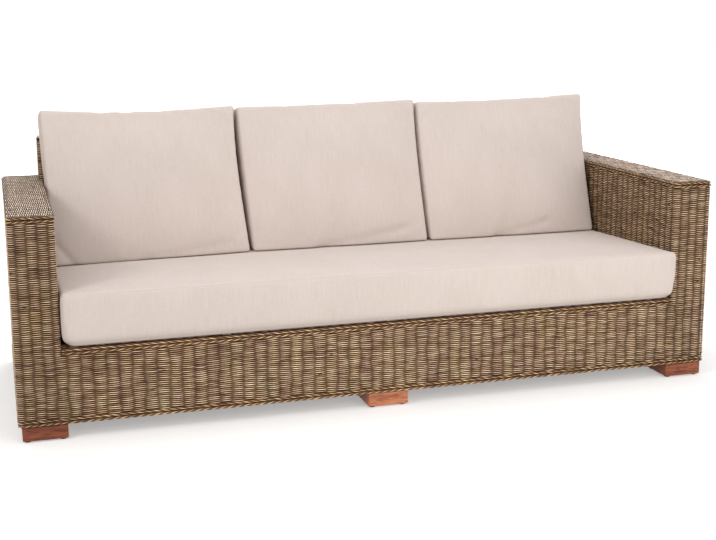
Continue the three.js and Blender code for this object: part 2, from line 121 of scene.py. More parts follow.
def soft_box(name, place, width, power):
    """A square lamp that looks at the middle of the seat and that the camera doesn't see."""
    data = bpy.data.lights.new(name, "AREA")
    data.shape = "SQUARE"
    data.size = width
    data.energy = power
    lamp = stand(name, data)
    lamp.location = place
    aim = Vector(SEAT_CENTRE) - Vector(place)
    lamp.rotation_euler = aim.to_track_quat("-Z", "Y").to_euler()
    lamp.visible_camera = False


soft_box("front_light", (0.9, -2.8, 0.8), 2.0, 33)
soft_box("left_light", (-3.0, -2.0, 2.5), 0.9, 28)
soft_box("top_light", (0.0, 0.3, 3.2), 2.2, 22)
soft_box("rear_light", (0.6, 3.4, 3.0), 2.6, 60)

world = bpy.data.worlds.new("studio")
scene.world = world
world.use_nodes = True
nodes, links = world.node_tree.nodes, world.node_tree.links
nodes.clear()
choice = nodes.new("ShaderNodeMixShader")
links.new(nodes.new("ShaderNodeLightPath").outputs["Is Camera Ray"], choice.inputs[0])
for socket, strength in ((1, WORLD_LIGHT), (2, 1.0)):
    background = nodes.new("ShaderNodeBackground")
    background.inputs["Color"].default_value = (1, 1, 1, 1)
    background.inputs["Strength"].default_value = strength
    links.new(background.outputs[0], choice.inputs[socket])
links.new(choice.outputs[0], nodes.new("ShaderNodeOutputWorld").inputs[0])

# %% [markdown]
# Every material below is built from nodes, and these small helpers keep that readable. A helper
# adds one node and wires what feeds it, so a finish reads from top to bottom like a recipe.


# %% Helpers for materials
class Recipe:
    """A material whose nodes are added one after another, each fed by earlier ones."""

    def __init__(self, name):
        self.material = bpy.data.materials.new(name)
        self.material.use_nodes = True
        self.tree = self.material.node_tree
        self.shader = self.tree.nodes["Principled BSDF"]

    def add(self, kind, settings=None, **inputs):
        node = self.tree.nodes.new("ShaderNode" + kind)
        for key, value in (settings or {}).items():
            setattr(node, key, value)
        for key, value in inputs.items():
            self.feed(node, key.replace("_", " "), value)
        return node

    def feed(self, node, socket, value):
        target = node.inputs[int(socket)] if socket.isdigit() else node.inputs[socket]
        if isinstance(value, bpy.types.NodeSocket):
            self.tree.links.new(value, target)
        else:
            target.default_value = value

    def ramp(self, factor, *stops):
        node = self.add("ValToRGB", Fac=factor)
        elements = node.color_ramp.elements
        while len(elements) < len(stops):
            elements.new(0.5)
        for element, (place, colour) in zip(elements, stops):
            element.position = place
            element.color = (*colour, 1)
        return node.outputs["Color"]

    def sums(self, operation, first, second=0.0, third=None):
        node = self.tree.nodes.new("ShaderNodeMath")
        node.operation = operation
        for i, value in enumerate((first, second, third)):
            if value is not None:
                self.feed(node, str(i), value)
        return node.outputs[0]

    def blend(self, factor, first, second, mode="MIX"):
        node = self.tree.nodes.new("ShaderNodeMix")
        node.data_type = "RGBA"
        node.blend_type = mode
        for i, value in ((0, factor), (6, first), (7, second)):
            if isinstance(value, tuple):
                value = (*value, 1)
            self.feed(node, str(i), value)
        return node.outputs[2]

    def noise(self, vector, scale, detail=2.0, roughness=0.5):
        node = self.add("TexNoise", Vector=vector, Scale=scale, Detail=detail,
                        Roughness=roughness)
        return node.outputs["Fac"]

    def stretched(self, vector, scale, offset=(0, 0, 0)):
        node = self.add("Mapping", Vector=vector, Location=offset, Scale=scale)
        return node.outputs["Vector"]

    def place(self):
        return self.add("TexCoord").outputs["Object"]

    def matt(self, colour, relief, spread, least, gloss=None):
        """Sets the colour, a roughness that rises from least with the relief, and the gloss."""
        self.feed(self.shader, "Base Color", colour)
        self.feed(self.shader, "Roughness", self.sums("MULTIPLY_ADD", relief, spread, least))
        if gloss is not None:
            self.shader.inputs["Specular IOR Level"].default_value = gloss

    def bump(self, height, strength, distance):
        node = self.add("Bump", Height=height, Strength=strength, Distance=distance)
        self.feed(self.shader, "Normal", node.outputs["Normal"])


def tone(hex_colour):
    """A colour as picked on screen, such as c8aa82, in the linear numbers that shaders take."""
    values = [int(hex_colour[i:i + 2], 16) / 255 for i in (0, 2, 4)]
    return tuple(v / 12.92 if v <= 0.04045 else ((v + 0.055) / 1.055) ** 2.4 for v in values)


print("pale tan in linear numbers", [round(v, 3) for v in tone("c8aa82")])

# %% [markdown]
# The floor is a pale studio sweep. Seen by the camera it adds a little glow of its own, so the
# lit floor comes out white and only the soft shadow under the sofa stays grey. The glow grows
# with the distance from the sofa, where the lamps no longer reach.

# %% Floor
FLOOR_SIZE = 60.0
NEAR_GLOW, FAR_GLOW = 0.34, 0.75
GLOW_STARTS, GLOW_ENDS = 1.5, 6.0

sweep = Recipe("pale_sweep")
sweep.feed(sweep.shader, "Base Color", (*tone("e4e3e1"), 1))
sweep.feed(sweep.shader, "Roughness", 1.0)
sweep.feed(sweep.shader, "Specular IOR Level", 0.0)
paths = sweep.add("LightPath")
by_eye = sweep.sums("MAXIMUM", paths.outputs["Is Camera Ray"], paths.outputs["Is Glossy Ray"])
by_eye = sweep.sums("MAXIMUM", by_eye, paths.outputs["Is Transmission Ray"])
sweep.feed(sweep.shader, "Emission Color", (1, 1, 1, 1))
distance = sweep.add("VectorMath", {"operation": "LENGTH"}, **{"0": sweep.place()}).outputs["Value"]
glow = sweep.add("MapRange", Value=distance, From_Min=GLOW_STARTS, From_Max=GLOW_ENDS,
                 To_Min=NEAR_GLOW, To_Max=FAR_GLOW).outputs["Result"]
sweep.feed(sweep.shader, "Emission Strength", sweep.sums("MULTIPLY", by_eye, glow))


def made_mesh(bm, name):
    """The finished bmesh as a mesh."""
    mesh = bpy.data.meshes.new(name)
    bm.to_mesh(mesh)
    bm.free()
    return mesh


bm = bmesh.new()
bmesh.ops.create_grid(bm, x_segments=1, y_segments=1, size=FLOOR_SIZE / 2)
floor = stand("floor", made_mesh(bm, "floor"))
floor.data.materials.append(sweep.material)
print("floor", FLOOR_SIZE, "m across")

# %% [markdown]
# Rattan is a climbing palm. The thin strands are cut from it, so each one has its own colour,
# from straw to grey brown, with fine fibres along it, and the gaps between strands get painted
# shade. The weave carries a map of its own: U is the way along a strand in metres and V counts
# the strands, so the shader can give each strand its own colour, and can change it slowly along
# the way. Wide noises on Object coordinates, drawn out upwards, give patches that have weathered
# grey, pale or mossy, and painted shade makes the strands round the arms darker. A value stored
# on the points says how far forward they stand: where a strand dives behind a stake it is painted
# nearly black with shade, and its crown in front gets a painted highlight, which gives the weave
# its bite. The upper and lower flanks of each strand get painted shade too.

# %% Rattan finishes
STRAND_MAP = "strand"
BAKE_MAP = "OFBake"
FORWARD = "forward"
COLUMN_PATCHES = (24.0, 24.0, 7.0)
MOSS_SHIFT = (5.3, 1.7, 0.4)
ARMS_FROM = 0.9
ARMS_BLEND = 0.07
ROW_SCRAMBLE = 7.31
STRAND_MIDDLE = 0.375
EVEN = (1, 1, 1)


def rattan(name, tones, rim_shade=1.0, crown=1.85, ragged=0.34, gap_shade=0.24, arm_shade=0.83):
    """Four tones of strand: straw, brown, grey and darkest, and the strengths of painted light."""
    r = Recipe(name)
    straw, brown, grey, darkest = map(tone, tones)
    strand = r.add("UVMap", {"uv_map": STRAND_MAP})
    parts = r.add("SeparateXYZ", Vector=strand.outputs[0])
    row = r.sums("FLOOR", parts.outputs["Y"])
    across = r.sums("FRACT", parts.outputs["Y"])
    scrambled = r.sums("MULTIPLY", row, ROW_SCRAMBLE)
    along = r.add("CombineXYZ", X=parts.outputs["X"], Y=scrambled).outputs[0]

    own = r.add("TexWhiteNoise", {"noise_dimensions": "1D"}, W=row).outputs["Value"]
    drift = r.noise(r.stretched(along, (16.0, 1.0, 1.0)), 1.0, 2.0)
    shade = r.sums("MULTIPLY_ADD", drift, 1.7, -0.45)
    shade = r.sums("MULTIPLY_ADD", r.sums("SUBTRACT", own, 0.5), 0.22, shade)
    colour = r.ramp(shade, (0.0, darkest), (0.3, brown), (0.62, straw), (1.0, grey))

    patches = r.noise(r.place(), 3.2, 3.0, 0.6)
    colour = r.blend(r.sums("MULTIPLY", patches, 0.3), colour, grey)
    columns = r.noise(r.stretched(r.place(), COLUMN_PATCHES), 1.0, 2.0, 0.6)
    tint = r.ramp(columns, (0.32, (0.85, 0.77, 0.77)), (0.5, (1, 0.97, 0.94)),
                  (0.68, (1.17, 1.18, 1.05)))
    colour = r.blend(0.9, colour, tint, "MULTIPLY")
    mossy = r.noise(r.stretched(r.place(), COLUMN_PATCHES, MOSS_SHIFT), 0.7, 2.0, 0.6)
    mossy = r.ramp(mossy, (0.52, EVEN), (0.64, (0.88, 0.95, 0.84)))
    colour = r.blend(0.7, colour, mossy, "MULTIPLY")
    # Painted shade: the strands round the arms are painted darker.
    sideways = r.sums("ABSOLUTE", r.add("SeparateXYZ", Vector=r.place()).outputs["X"])
    arm_shade_tint = r.ramp(r.sums("SUBTRACT", sideways, ARMS_FROM), (0.0, EVEN),
                     (ARMS_BLEND, (arm_shade, arm_shade * 0.99, arm_shade * 0.97)))
    colour = r.blend(1.0, colour, arm_shade_tint, "MULTIPLY")
    fibres = r.noise(r.stretched(along, (60.0, 1.0, 1.0)), 8.0, 3.0)
    fibre_shade = r.ramp(fibres, (0.3, (0.72, 0.7, 0.66)), (0.7, (1.12, 1.1, 1.06)))
    colour = r.blend(0.7, colour, fibre_shade, "MULTIPLY")

    # Painted shade: the upper and lower flanks and the back of each strand are darkened.
    middle = r.sums("ABSOLUTE", r.sums("SUBTRACT", across, STRAND_MIDDLE))
    edge = r.ramp(middle, (0.11, EVEN), (0.3, (0.1, 0.06, 0.035)))
    colour = r.blend(rim_shade, colour, edge, "MULTIPLY")
    # Painted shade where a strand dives behind a stake, painted highlight on its crown in front.
    forward = r.add("Attribute", {"attribute_name": FORWARD}).outputs["Fac"]
    shade_jitter = r.noise(r.stretched(along, (38.0, 3.1, 1.0)), 1.0, 3.0, 0.65)
    seen = r.sums("MULTIPLY_ADD", r.sums("SUBTRACT", shade_jitter, 0.5), ragged, forward)
    shaded = r.ramp(r.sums("MULTIPLY_ADD", seen, 0.5, 0.5),
                    (0.58, (gap_shade, gap_shade * 0.64, gap_shade * 0.42)), (0.78, (0.76, 0.7, 0.66)),
                    (0.99, (crown, crown * 1.01, crown * 1.1)))
    colour = r.blend(1.0, colour, shaded, "MULTIPLY")
    r.matt(colour, fibres, 0.25, 0.42, gloss=0.35)
    r.bump(fibres, 0.25, 0.4 * MM)
    return r.material


wall_rattan = rattan("wall_rattan", ("d9be9c", "b18e68", "cec0aa", "73523a"))
# A lighter, greyer copy for the flat tops: painted reflection of the light from above.
lit_top_rattan = rattan("lit_top_rattan", ("e2d0be", "beaa98", "e4d8cf", "8c786c"), arm_shade=1.0)
rope_rattan = rattan("rope_rattan", ("d5b891", "ad8b65", "cabb9f", "755638"), rim_shade=0.0, crown=1.6,
                     ragged=0.12, gap_shade=0.3)


def speckled(name, dark, light, stretch, scale, least, spread, margin=0.3):
    """Two close tones mixed by one noise, for what hardly shows."""
    r = Recipe(name)
    speckle = r.noise(r.stretched(r.place(), stretch), scale)
    r.matt(r.ramp(speckle, (margin, tone(dark)), (1 - margin, tone(light))), speckle, spread, least)
    return r.material


# Painted shade: stakes and a thin sheet behind the weave are nearly black, the shade in its gaps.
stake_shade = speckled("stake_shade", "23150a", "402a16", (90.0, 90.0, 6.0), 4.0, 0.6, 0.2, 0.25)
dark_lining = speckled("dark_lining", "1f130a", "301e11", EVEN, 700.0, 0.88, 0.1)
print("rattan finishes", [m.name for m in (wall_rattan, lit_top_rattan, rope_rattan, stake_shade)])

# %% [markdown]
# The weave is modelled strand by strand. It is first made flat, as on a drawing board: X is the
# way along the wall, Y the height and Z the way out of it. One strand is a grid that a D-shaped
# section rolls up, and its middle line follows a flattened cosine: it stays in front of one
# stake, dives quickly and passes behind the next. The strand above does the opposite, and an
# Array modifier repeats that pair up the wall. Four faces round and three steps to a stake are
# enough, because there are many thousand crossings. The flat weave is bent round the corners of
# the sofa only at the end.

# %% A flat piece of weave
STAKE_PITCH = 36.7 * MM
ROW_PITCH = 3.07 * MM
STRAND_RADIUS = 1.62 * MM
SWING = 2.85 * MM
STAKE_RADIUS = 2.3 * MM
SKIN = 9 * MM
MID_DEPTH = SKIN / 2
SHADE_SHEET_THICKNESS = 0.4 * MM
ROD_CUTS = 8
SHADE_SHEET_DEPTH = SHADE_SHEET_THICKNESS - MID_DEPTH
STEPS_PER_STAKE = 3
STAKE_SIDES = 7
FLATNESS = 0.45
WELD = 0.01 * MM
SECTION_ANGLES = tuple(math.radians(a) for a in (-78, -27, 27, 78))


def smooth_object(name, mesh, *materials):
    for material in materials:
        mesh.materials.append(material)
    mesh.polygons.foreach_set("use_smooth", [True] * len(mesh.polygons))
    return stand(name, mesh)


def finished_mesh(obj):
    """The object's mesh with its modifiers applied. The object is removed."""
    depsgraph = bpy.context.evaluated_depsgraph_get()
    mesh = bpy.data.meshes.new_from_object(obj.evaluated_get(depsgraph), depsgraph=depsgraph)
    bpy.data.objects.remove(obj)
    return mesh


def coordinates(mesh):
    co = np.empty(len(mesh.vertices) * 3, np.float32)
    mesh.vertices.foreach_get("co", co)
    return co.reshape(-1, 3).astype(float)


def set_coordinates(mesh, co):
    mesh.vertices.foreach_set("co", co.astype(np.float32).ravel())
    mesh.update()


def swung(turns):
    """How far forward a strand stands, -1 to 1, when its phase is that many stakes along."""
    wave = np.cos(math.pi * np.asarray(turns))
    return np.sign(wave) * np.abs(wave) ** FLATNESS


def rolled_strand(bm, steps, sides, number, place):
    """Adds one strand: a grid that closes into a tube. place(step, side) says where points go."""
    uv = bm.loops.layers.uv.verify()
    made = bmesh.ops.create_grid(bm, x_segments=steps, y_segments=sides, size=0.5, calc_uvs=True)
    for vert in made["verts"]:
        step = round((vert.co.x + 0.5) * steps)
        side = round((vert.co.y + 0.5) * sides) % sides
        vert.co = place(step, side)
    for face in {f for v in made["verts"] for f in v.link_faces}:
        for loop in face.loops:
            loop[uv].uv.y += number
    bmesh.ops.remove_doubles(bm, verts=made["verts"], dist=WELD)


def closed(bm):
    """Closes the ends of strands, or the edges of a cut."""
    bmesh.ops.holes_fill(bm, edges=[e for e in bm.edges if e.is_boundary])


def flat_weave(name, stations, phases, rows):
    """Rows of strands over the stations: an even and an odd strand, repeated by an Array."""
    bm = bmesh.new()
    for row in range(2):
        outs = SWING * swung(phases + row)
        middle = (row + 0.5) * ROW_PITCH

        def place(step, side):
            angle = SECTION_ANGLES[side]
            return (stations[step], middle + STRAND_RADIUS * math.sin(angle),
                    outs[step] + STRAND_RADIUS * math.cos(angle))

        rolled_strand(bm, len(stations) - 1, len(SECTION_ANGLES), row, place)
    closed(bm)
    obj = stand(name, made_mesh(bm, name))
    array = obj.modifiers.new("rows", "ARRAY")
    array.count = rows // 2
    array.use_relative_offset = False
    array.use_constant_offset = True
    array.constant_offset_displace = (0, 2 * ROW_PITCH, 0)
    array.offset_v = 2.0
    return finished_mesh(obj)


# %% [markdown]
# A wall's route round the sofa is a walk seen from above, along the middle of its skin, with
# rounded corners. Bending a flat weave is then a matter of looking up, for every point, where
# the walk is after so many metres and which way is out. The stakes stand evenly between the
# corners, with one in each corner, so the strands turn the corner over a stake as real ones do.

# %% Walks round the sofa
CORNER_RADIUS = 12 * MM
BORDER_HEIGHT = 20 * MM
BORDER_PROUD = 1.5 * MM
ARC_POINTS = 9
ARC_SHARES = (0.0, 0.25, 0.5, 0.75, 1.0)
CLOSEST_STATIONS = 1.5 * MM
SEARCH_STEP = 0.2 * MM


class Walk:
    """A route with its outside on the right: straight stretches joined by left-hand corners."""

    def __init__(self, corners, marks=()):
        points = [Vector(p) for p in corners]
        headings = [(b - a).normalized() for a, b in zip(points, points[1:])]
        outs = [Vector((h.y, -h.x)) for h in headings]
        radius = CORNER_RADIUS - MID_DEPTH
        rows = [(0.0, *(points[0] - outs[0] * MID_DEPTH), *outs[0])]
        self.corner_middles, self.arc_stations = [], []
        for i, corner in enumerate(points[1:-1]):
            centre = corner - (outs[i] + outs[i + 1]) * CORNER_RADIUS
            start = centre + outs[i] * radius
            begin = rows[-1][0] + (start - Vector(rows[-1][1:3])).length
            length = radius * math.pi / 2
            for share in np.linspace(0, 1, ARC_POINTS):
                out = (outs[i] * math.cos(share * math.pi / 2)
                       + outs[i + 1] * math.sin(share * math.pi / 2))
                rows.append((begin + share * length, *(centre + out * radius), *out))
            self.corner_middles.append(begin + length / 2)
            self.arc_stations += [begin + share * length for share in ARC_SHARES]
        end = points[-1] - outs[-1] * MID_DEPTH
        rows.append((rows[-1][0] + (end - Vector(rows[-1][1:3])).length, *end, *outs[-1]))
        self.table = np.array(rows)
        self.length = float(self.table[-1, 0])
        anchors = sorted([0.0, *self.corner_middles, *map(self.along_at, marks), self.length])
        stakes = [0.0]
        for a, b in zip(anchors, anchors[1:]):
            count = max(1, math.ceil((b - a) / STAKE_PITCH))
            stakes += list(np.linspace(a, b, count + 1)[1:])
        self.stakes = np.array(stakes)

    def along_at(self, point):
        """How far along the walk its nearest place to a point is."""
        fine = np.arange(0, self.length, SEARCH_STEP)
        x, y = self.at(fine, 0 * fine)
        return float(fine[np.argmin((x - point[0]) ** 2 + (y - point[1]) ** 2)])

    def at(self, along, out):
        columns = [np.interp(along, self.table[:, 0], self.table[:, k]) for k in range(1, 5)]
        return columns[0] + out * columns[2], columns[1] + out * columns[3]

    def phase(self, along):
        return np.interp(along, self.stakes, np.arange(len(self.stakes)))

    def stations(self, start, stop, per_stake=STEPS_PER_STAKE):
        """Where a strand from start to stop needs points, with more of them in the corners."""
        steps = np.arange((len(self.stakes) - 1) * per_stake + 1) / per_stake
        even = np.interp(steps, np.arange(len(self.stakes)), self.stakes)
        arcs = np.array([s for s in self.arc_stations if start < s < stop])
        found = [start, *arcs, stop]
        for s in even[(even > start) & (even < stop)]:
            if min(abs(s - f) for f in found if abs(s - f) < STAKE_PITCH * 2) > CLOSEST_STATIONS:
                found.append(s)
        return np.array(sorted(found))


def corner_of(node, high):
    low_corner, high_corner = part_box(node)
    return high_corner if high else low_corner


LEFT, RIGHT = corner_of("left_arm_weave", False).x, corner_of("right_arm_weave", True).x
FRONT, REAR = corner_of("left_arm_weave", False).y, corner_of("back_outer_weave", True).y
SEAT_LEFT, SEAT_RIGHT = corner_of("left_arm_weave", True).x, corner_of("right_arm_weave", False).x
SKIRT_LOW, SKIRT_TOP = corner_of("front_skirt_weave", False).z, corner_of("front_skirt_weave", True).z
ARM_TOP = corner_of("left_arm_border", True).z
ARM_STAKE_IN = 3.5 * MM

base_walk = Walk(
    [(0, REAR), (LEFT, REAR), (LEFT, FRONT), (RIGHT, FRONT), (RIGHT, REAR), (0, REAR)],
    marks=[(SEAT_LEFT - ARM_STAKE_IN, FRONT), (SEAT_RIGHT + ARM_STAKE_IN, FRONT)])
left_arm_walk = Walk([(0, REAR), (LEFT, REAR), (LEFT, FRONT), (SEAT_LEFT, FRONT),
                      (SEAT_LEFT, corner_of("left_arm_weave", True).y)])
right_arm_walk = Walk([(SEAT_RIGHT, corner_of("right_arm_weave", True).y), (SEAT_RIGHT, FRONT),
                       (RIGHT, FRONT), (RIGHT, REAR), (0, REAR)])
print("base walk", round(base_walk.length, 3), "m,", len(base_walk.stakes), "stakes")

# %% [markdown]
# No two strands lie quite alike. Each row gets its own slow sway, thickness and tightness, made
# from a few sines whose phases come from one seeded generator, so the weave is the same in
# every run and runs on unbroken from one panel of the wall to the next. The stakes lean and
# bow a little too, and the strands follow them. Ends and corners stay where they are.

# %% The hand of the weaver
rng = np.random.default_rng(7)
MAX_ROWS = 400
sway_phase = rng.uniform(0, 2 * math.pi, (MAX_ROWS, 4))
THICKNESS_SPREAD = 0.09
row_thickness = 1 + THICKNESS_SPREAD * rng.standard_normal(MAX_ROWS).clip(-2, 2)
SWAY = 0.4 * MM
SWAY_LENGTHS = (0.29, 0.113)
SWELL, SWELL_LENGTH = 0.06, 0.47
TIGHTENING, TIGHT_LENGTH = 0.1, 0.17
STAKE_LEAN = 4 * MM
LEAN_WAVES = ((0.083, 0.19, 0.4), (0.149, -0.115, 2.1), (0.061, 0.085, 4.0))
CALM_LENGTH = 60 * MM
STILL_SHARE = 0.25


def lean_stakes(co, walk, start, stop):
    """Moves points along the wall as the stakes there lean, by a few crossing waves."""
    along, height = co[:, 0], co[:, 1]
    shift = sum(np.sin(2 * math.pi * (along / length + height / rise) + turn)
                for length, rise, turn in LEAN_WAVES) / len(LEAN_WAVES)
    fixed = [start, stop, *walk.corner_middles]
    calm = np.min([np.abs(along - place) for place in fixed], axis=0) / CALM_LENGTH
    co[:, 0] += STAKE_LEAN * shift * np.clip(calm - STILL_SHARE, 0, 1)
    return co


def loosen(co, rows, middle_out):
    """Moves the points of flat strands a little: co is along, height, out."""
    along = co[:, 0]
    middle_up = (rows - rows.min() + 0.5) * ROW_PITCH
    wave = [np.sin(2 * math.pi * along / length + sway_phase[rows, k])
            for k, length in enumerate(SWAY_LENGTHS)]
    thick = np.sin(2 * math.pi * along / SWELL_LENGTH + sway_phase[rows, 2])
    swell = row_thickness[rows] * (1 + SWELL * thick)
    tight = 1 + TIGHTENING * np.sin(2 * math.pi * along / TIGHT_LENGTH + sway_phase[rows, 3])
    co[:, 1] = middle_up + (co[:, 1] - middle_up) * swell + SWAY * (wave[0] + wave[1]) / 2
    co[:, 2] = middle_out * tight + (co[:, 2] - middle_out) * swell
    return co


def map_strands(mesh, stations, rows, first_row):
    """Gives the mesh its two maps: strands for the finish, and the flat panel for a bake."""
    grid_map = mesh.uv_layers[0]
    uv = np.empty(len(mesh.loops) * 2, np.float32)
    grid_map.uv.foreach_get("vector", uv)
    uv = uv.reshape(-1, 2).astype(float)
    along = np.interp(uv[:, 0], np.linspace(0, 1, len(stations)), stations)
    start, length = stations[0], stations[-1] - stations[0]
    grid_map.name = BAKE_MAP
    flat = np.column_stack(((along - start) / length, uv[:, 1] / rows))
    grid_map.uv.foreach_set("vector", flat.astype(np.float32).ravel())
    strands = mesh.uv_layers.new(name=STRAND_MAP)
    numbered = np.column_stack((along, uv[:, 1] + first_row))
    strands.uv.foreach_set("vector", numbered.astype(np.float32).ravel())


def set_forward(mesh, values):
    stored = mesh.attributes.new(FORWARD, "FLOAT", "POINT")
    stored.data.foreach_set("value", values.astype(np.float32))


def panel(name, walk, start, stop, height, first_row=0):
    """One flat panel of weave as (mesh, points), ready to be bent or laid in place."""
    stations = walk.stations(start, stop)
    rows = 2 * round(height / ROW_PITCH / 2)
    mesh = flat_weave(name, stations, walk.phase(stations), rows)
    co = coordinates(mesh)
    number = np.clip((co[:, 1] / ROW_PITCH).astype(int), 0, rows - 1)
    middle_out = SWING * swung(walk.phase(co[:, 0]) + number)
    set_forward(mesh, co[:, 2] / (SWING + STRAND_RADIUS))
    co = loosen(co, number + first_row, middle_out)
    co[:, 1] *= height / (rows * ROW_PITCH)
    map_strands(mesh, stations, rows, first_row)
    return mesh, lean_stakes(co, walk, start, stop)


def flat_stakes(name, places, length, walk, start, stop):
    """Upright stakes and the sheet of painted shade behind them, on the same flat drawing board."""
    stations = walk.stations(start, stop, 1)
    bm = bmesh.new()
    sheet = bmesh.ops.create_grid(bm, x_segments=len(stations) - 1, y_segments=1, size=0.5)
    for vert in sheet["verts"]:
        step = round((vert.co.x + 0.5) * (len(stations) - 1))
        vert.co = (stations[step], (vert.co.y + 0.5) * length, SHADE_SHEET_DEPTH)
    bmesh.ops.solidify(bm, geom=bm.faces[:], thickness=SHADE_SHEET_THICKNESS)
    shade_sheet = set(bm.faces)
    upright = Matrix.Rotation(math.radians(-90), 4, "X")
    for place in places:
        bmesh.ops.create_cone(
            bm, cap_ends=True, segments=STAKE_SIDES, radius1=STAKE_RADIUS, radius2=STAKE_RADIUS,
            depth=length, matrix=Matrix.Translation((place, length / 2, 0)) @ upright)
    rods = [e for e in bm.edges if e.link_faces and e.link_faces[0] not in shade_sheet
            and e.calc_length() > length / 2]
    bmesh.ops.subdivide_edges(bm, edges=rods, cuts=ROD_CUTS, use_grid_fill=True)
    for face in bm.faces:
        face.material_index = 1 if face in shade_sheet else 0
    mesh = made_mesh(bm, name)
    return mesh, lean_stakes(coordinates(mesh), walk, start, stop)


def bend(mesh, co, walk, bottom):
    x, y = walk.at(co[:, 0], co[:, 2])
    set_coordinates(mesh, np.column_stack((x, y, bottom + co[:, 1])))


def lay(mesh, co, origin, along, up):
    """Lays a flat panel in a plane: its own height runs along up, and out is square to both."""
    out = Vector(along).cross(Vector(up))
    basis = np.array([along, up, tuple(out)])
    set_coordinates(mesh, co @ basis + np.array(origin))


def dress(obj, slot, *replaced):
    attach(obj, "frame")
    if replaced:
        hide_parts(*replaced)


def count_triangles(mesh):
    mesh.calc_loop_triangles()
    return len(mesh.loop_triangles)


def woven(name, walk, start, stop, height, first_row, finish, replaced, put):
    """Strands and stakes of one panel. put(mesh, points) carries them from board to sofa."""
    strands, co = panel(name, walk, start, stop, height, first_row)
    put(strands, co)
    stakes = walk.stakes[(walk.stakes > start) & (walk.stakes < stop)]
    rods, rod_co = flat_stakes(name + "_stakes", stakes, height, walk, start, stop)
    put(rods, rod_co)
    dress(smooth_object(name + "_strands", strands, finish), "woven_rattan", *replaced)
    dress(smooth_object(name + "_stakes", rods, stake_shade, dark_lining), "woven_rattan")
    print(name, len(stakes), "stakes,", count_triangles(strands), "triangles of strands")


def woven_wall(name, walk, start, stop, bottom, top, first_row, replaced, trim=None):
    """One upright wall, bent along its walk."""
    def put(mesh, co):
        bend(mesh, co, walk, bottom)
        if trim:
            trim(mesh)

    woven(name, walk, start, stop, top - bottom, first_row, wall_rattan, replaced, put)


# %% [markdown]
# The twisted border is a pair of ropes with opposite twists, one above the other, so together
# they look like a row of arrowheads. Each rope is three strands that turn half way round each
# other from one stake to the next. The same rolled grid makes them, with a middle line that
# follows a helix.

# %% Twisted borders
ROPE_STRANDS = 3
ROPE_STRAND_RADIUS = 1.8 * MM
ROPE_TURN_RADIUS = 2.75 * MM
ROPE_SIDES = 6
ROPE_STEPS_PER_STAKE = 6
ROPE_SHADE = 1.7


def twisted_pair(name, walk, start, stop, height, hands=(1, -1)):
    """Ropes on the flat board, spread over a border of that height."""
    stations = walk.stations(start, stop, ROPE_STEPS_PER_STAKE)
    phases = walk.phase(stations)
    bm = bmesh.new()
    for number in range(len(hands) * ROPE_STRANDS):
        level, ply = divmod(number, ROPE_STRANDS)
        middle = height * (level + 0.5) / len(hands)

        def place(step, side):
            angle = 2 * math.pi * side / ROPE_SIDES
            around = math.pi * (phases[step] * hands[level] + 2 * ply / ROPE_STRANDS)
            up = ROPE_TURN_RADIUS * math.sin(around) + ROPE_STRAND_RADIUS * math.sin(angle)
            out = ROPE_TURN_RADIUS * math.cos(around) + ROPE_STRAND_RADIUS * math.cos(angle)
            return stations[step], middle + up, BORDER_PROUD + out

        rolled_strand(bm, len(stations) - 1, ROPE_SIDES, number, place)
    closed(bm)
    mesh = made_mesh(bm, name)
    map_strands(mesh, stations, len(hands) * ROPE_STRANDS, 0)
    co = coordinates(mesh)
    # Painted shade: the steep forward value makes the sides of the rope strands dark.
    proud = (co[:, 2] - BORDER_PROUD) / (ROPE_TURN_RADIUS + ROPE_STRAND_RADIUS)
    set_forward(mesh, ROPE_SHADE * (proud - 1) + 1)
    return mesh, co


def rope_border(name, walk, start, stop, bottom, height, replaced):
    """A twisted border in place, with the sheet of painted shade carried on behind it."""
    mesh, co = twisted_pair(name, walk, start, stop, height)
    bend(mesh, co, walk, bottom)
    dress(smooth_object(name, mesh, rope_rattan), "rattan_border", *replaced)
    shade_sheet, shade_sheet_co = flat_stakes(name + "_lining", [], height, walk, start, stop)
    bend(shade_sheet, shade_sheet_co, walk, bottom)
    dress(smooth_object(name + "_lining", shade_sheet, stake_shade, dark_lining), "rattan_border")
    print(name, count_triangles(mesh), "triangles")


# %% [markdown]
# The skirt is four panels of one continuous wall: the solid model splits it just behind the
# corners, and so do these panels, but rows, stakes and sway run on through the joints.

# %% Woven skirt
SKIRT_WEAVE_LOW = SKIRT_LOW + BORDER_HEIGHT


def skirt(name, start_point, stop_point):
    start, stop = base_walk.along_at(start_point), base_walk.along_at(stop_point)
    woven_wall(name, base_walk, start, stop, SKIRT_WEAVE_LOW, SKIRT_TOP, 0, [name + "_weave"])
    rope_border(name + "_rope", base_walk, start, stop, SKIRT_LOW, BORDER_HEIGHT, [])


CORNER_RETURN = CORNER_RADIUS + SKIN
skirt("left_skirt", (LEFT, REAR - CORNER_RETURN), (LEFT, FRONT + CORNER_RETURN))
skirt("front_skirt", (LEFT, FRONT + CORNER_RETURN), (RIGHT, FRONT + CORNER_RETURN))
skirt("right_skirt", (RIGHT, FRONT + CORNER_RETURN), (RIGHT, REAR - CORNER_RETURN))

# %% [markdown]
# The rear wall meets itself at the middle of the back, where the walk starts and ends, so its
# panel is made in two halves. Above seat level the same walk carries the outer wall up to the
# height of the arms.

# %% Rear skirt and outer back wall
def rear_halves(name, bottom, top, first_row, rope):
    halves = (("left", 0.0, base_walk.along_at((LEFT, REAR - CORNER_RETURN))),
              ("right", base_walk.along_at((RIGHT, REAR - CORNER_RETURN)), base_walk.length))
    for side, start, stop in halves:
        woven_wall(f"{name}_{side}", base_walk, start, stop, bottom, top, first_row,
                   [name + "_weave"])
        if rope:
            rope_border(f"{name}_{side}_rope", base_walk, start, stop, SKIRT_LOW, BORDER_HEIGHT, [])


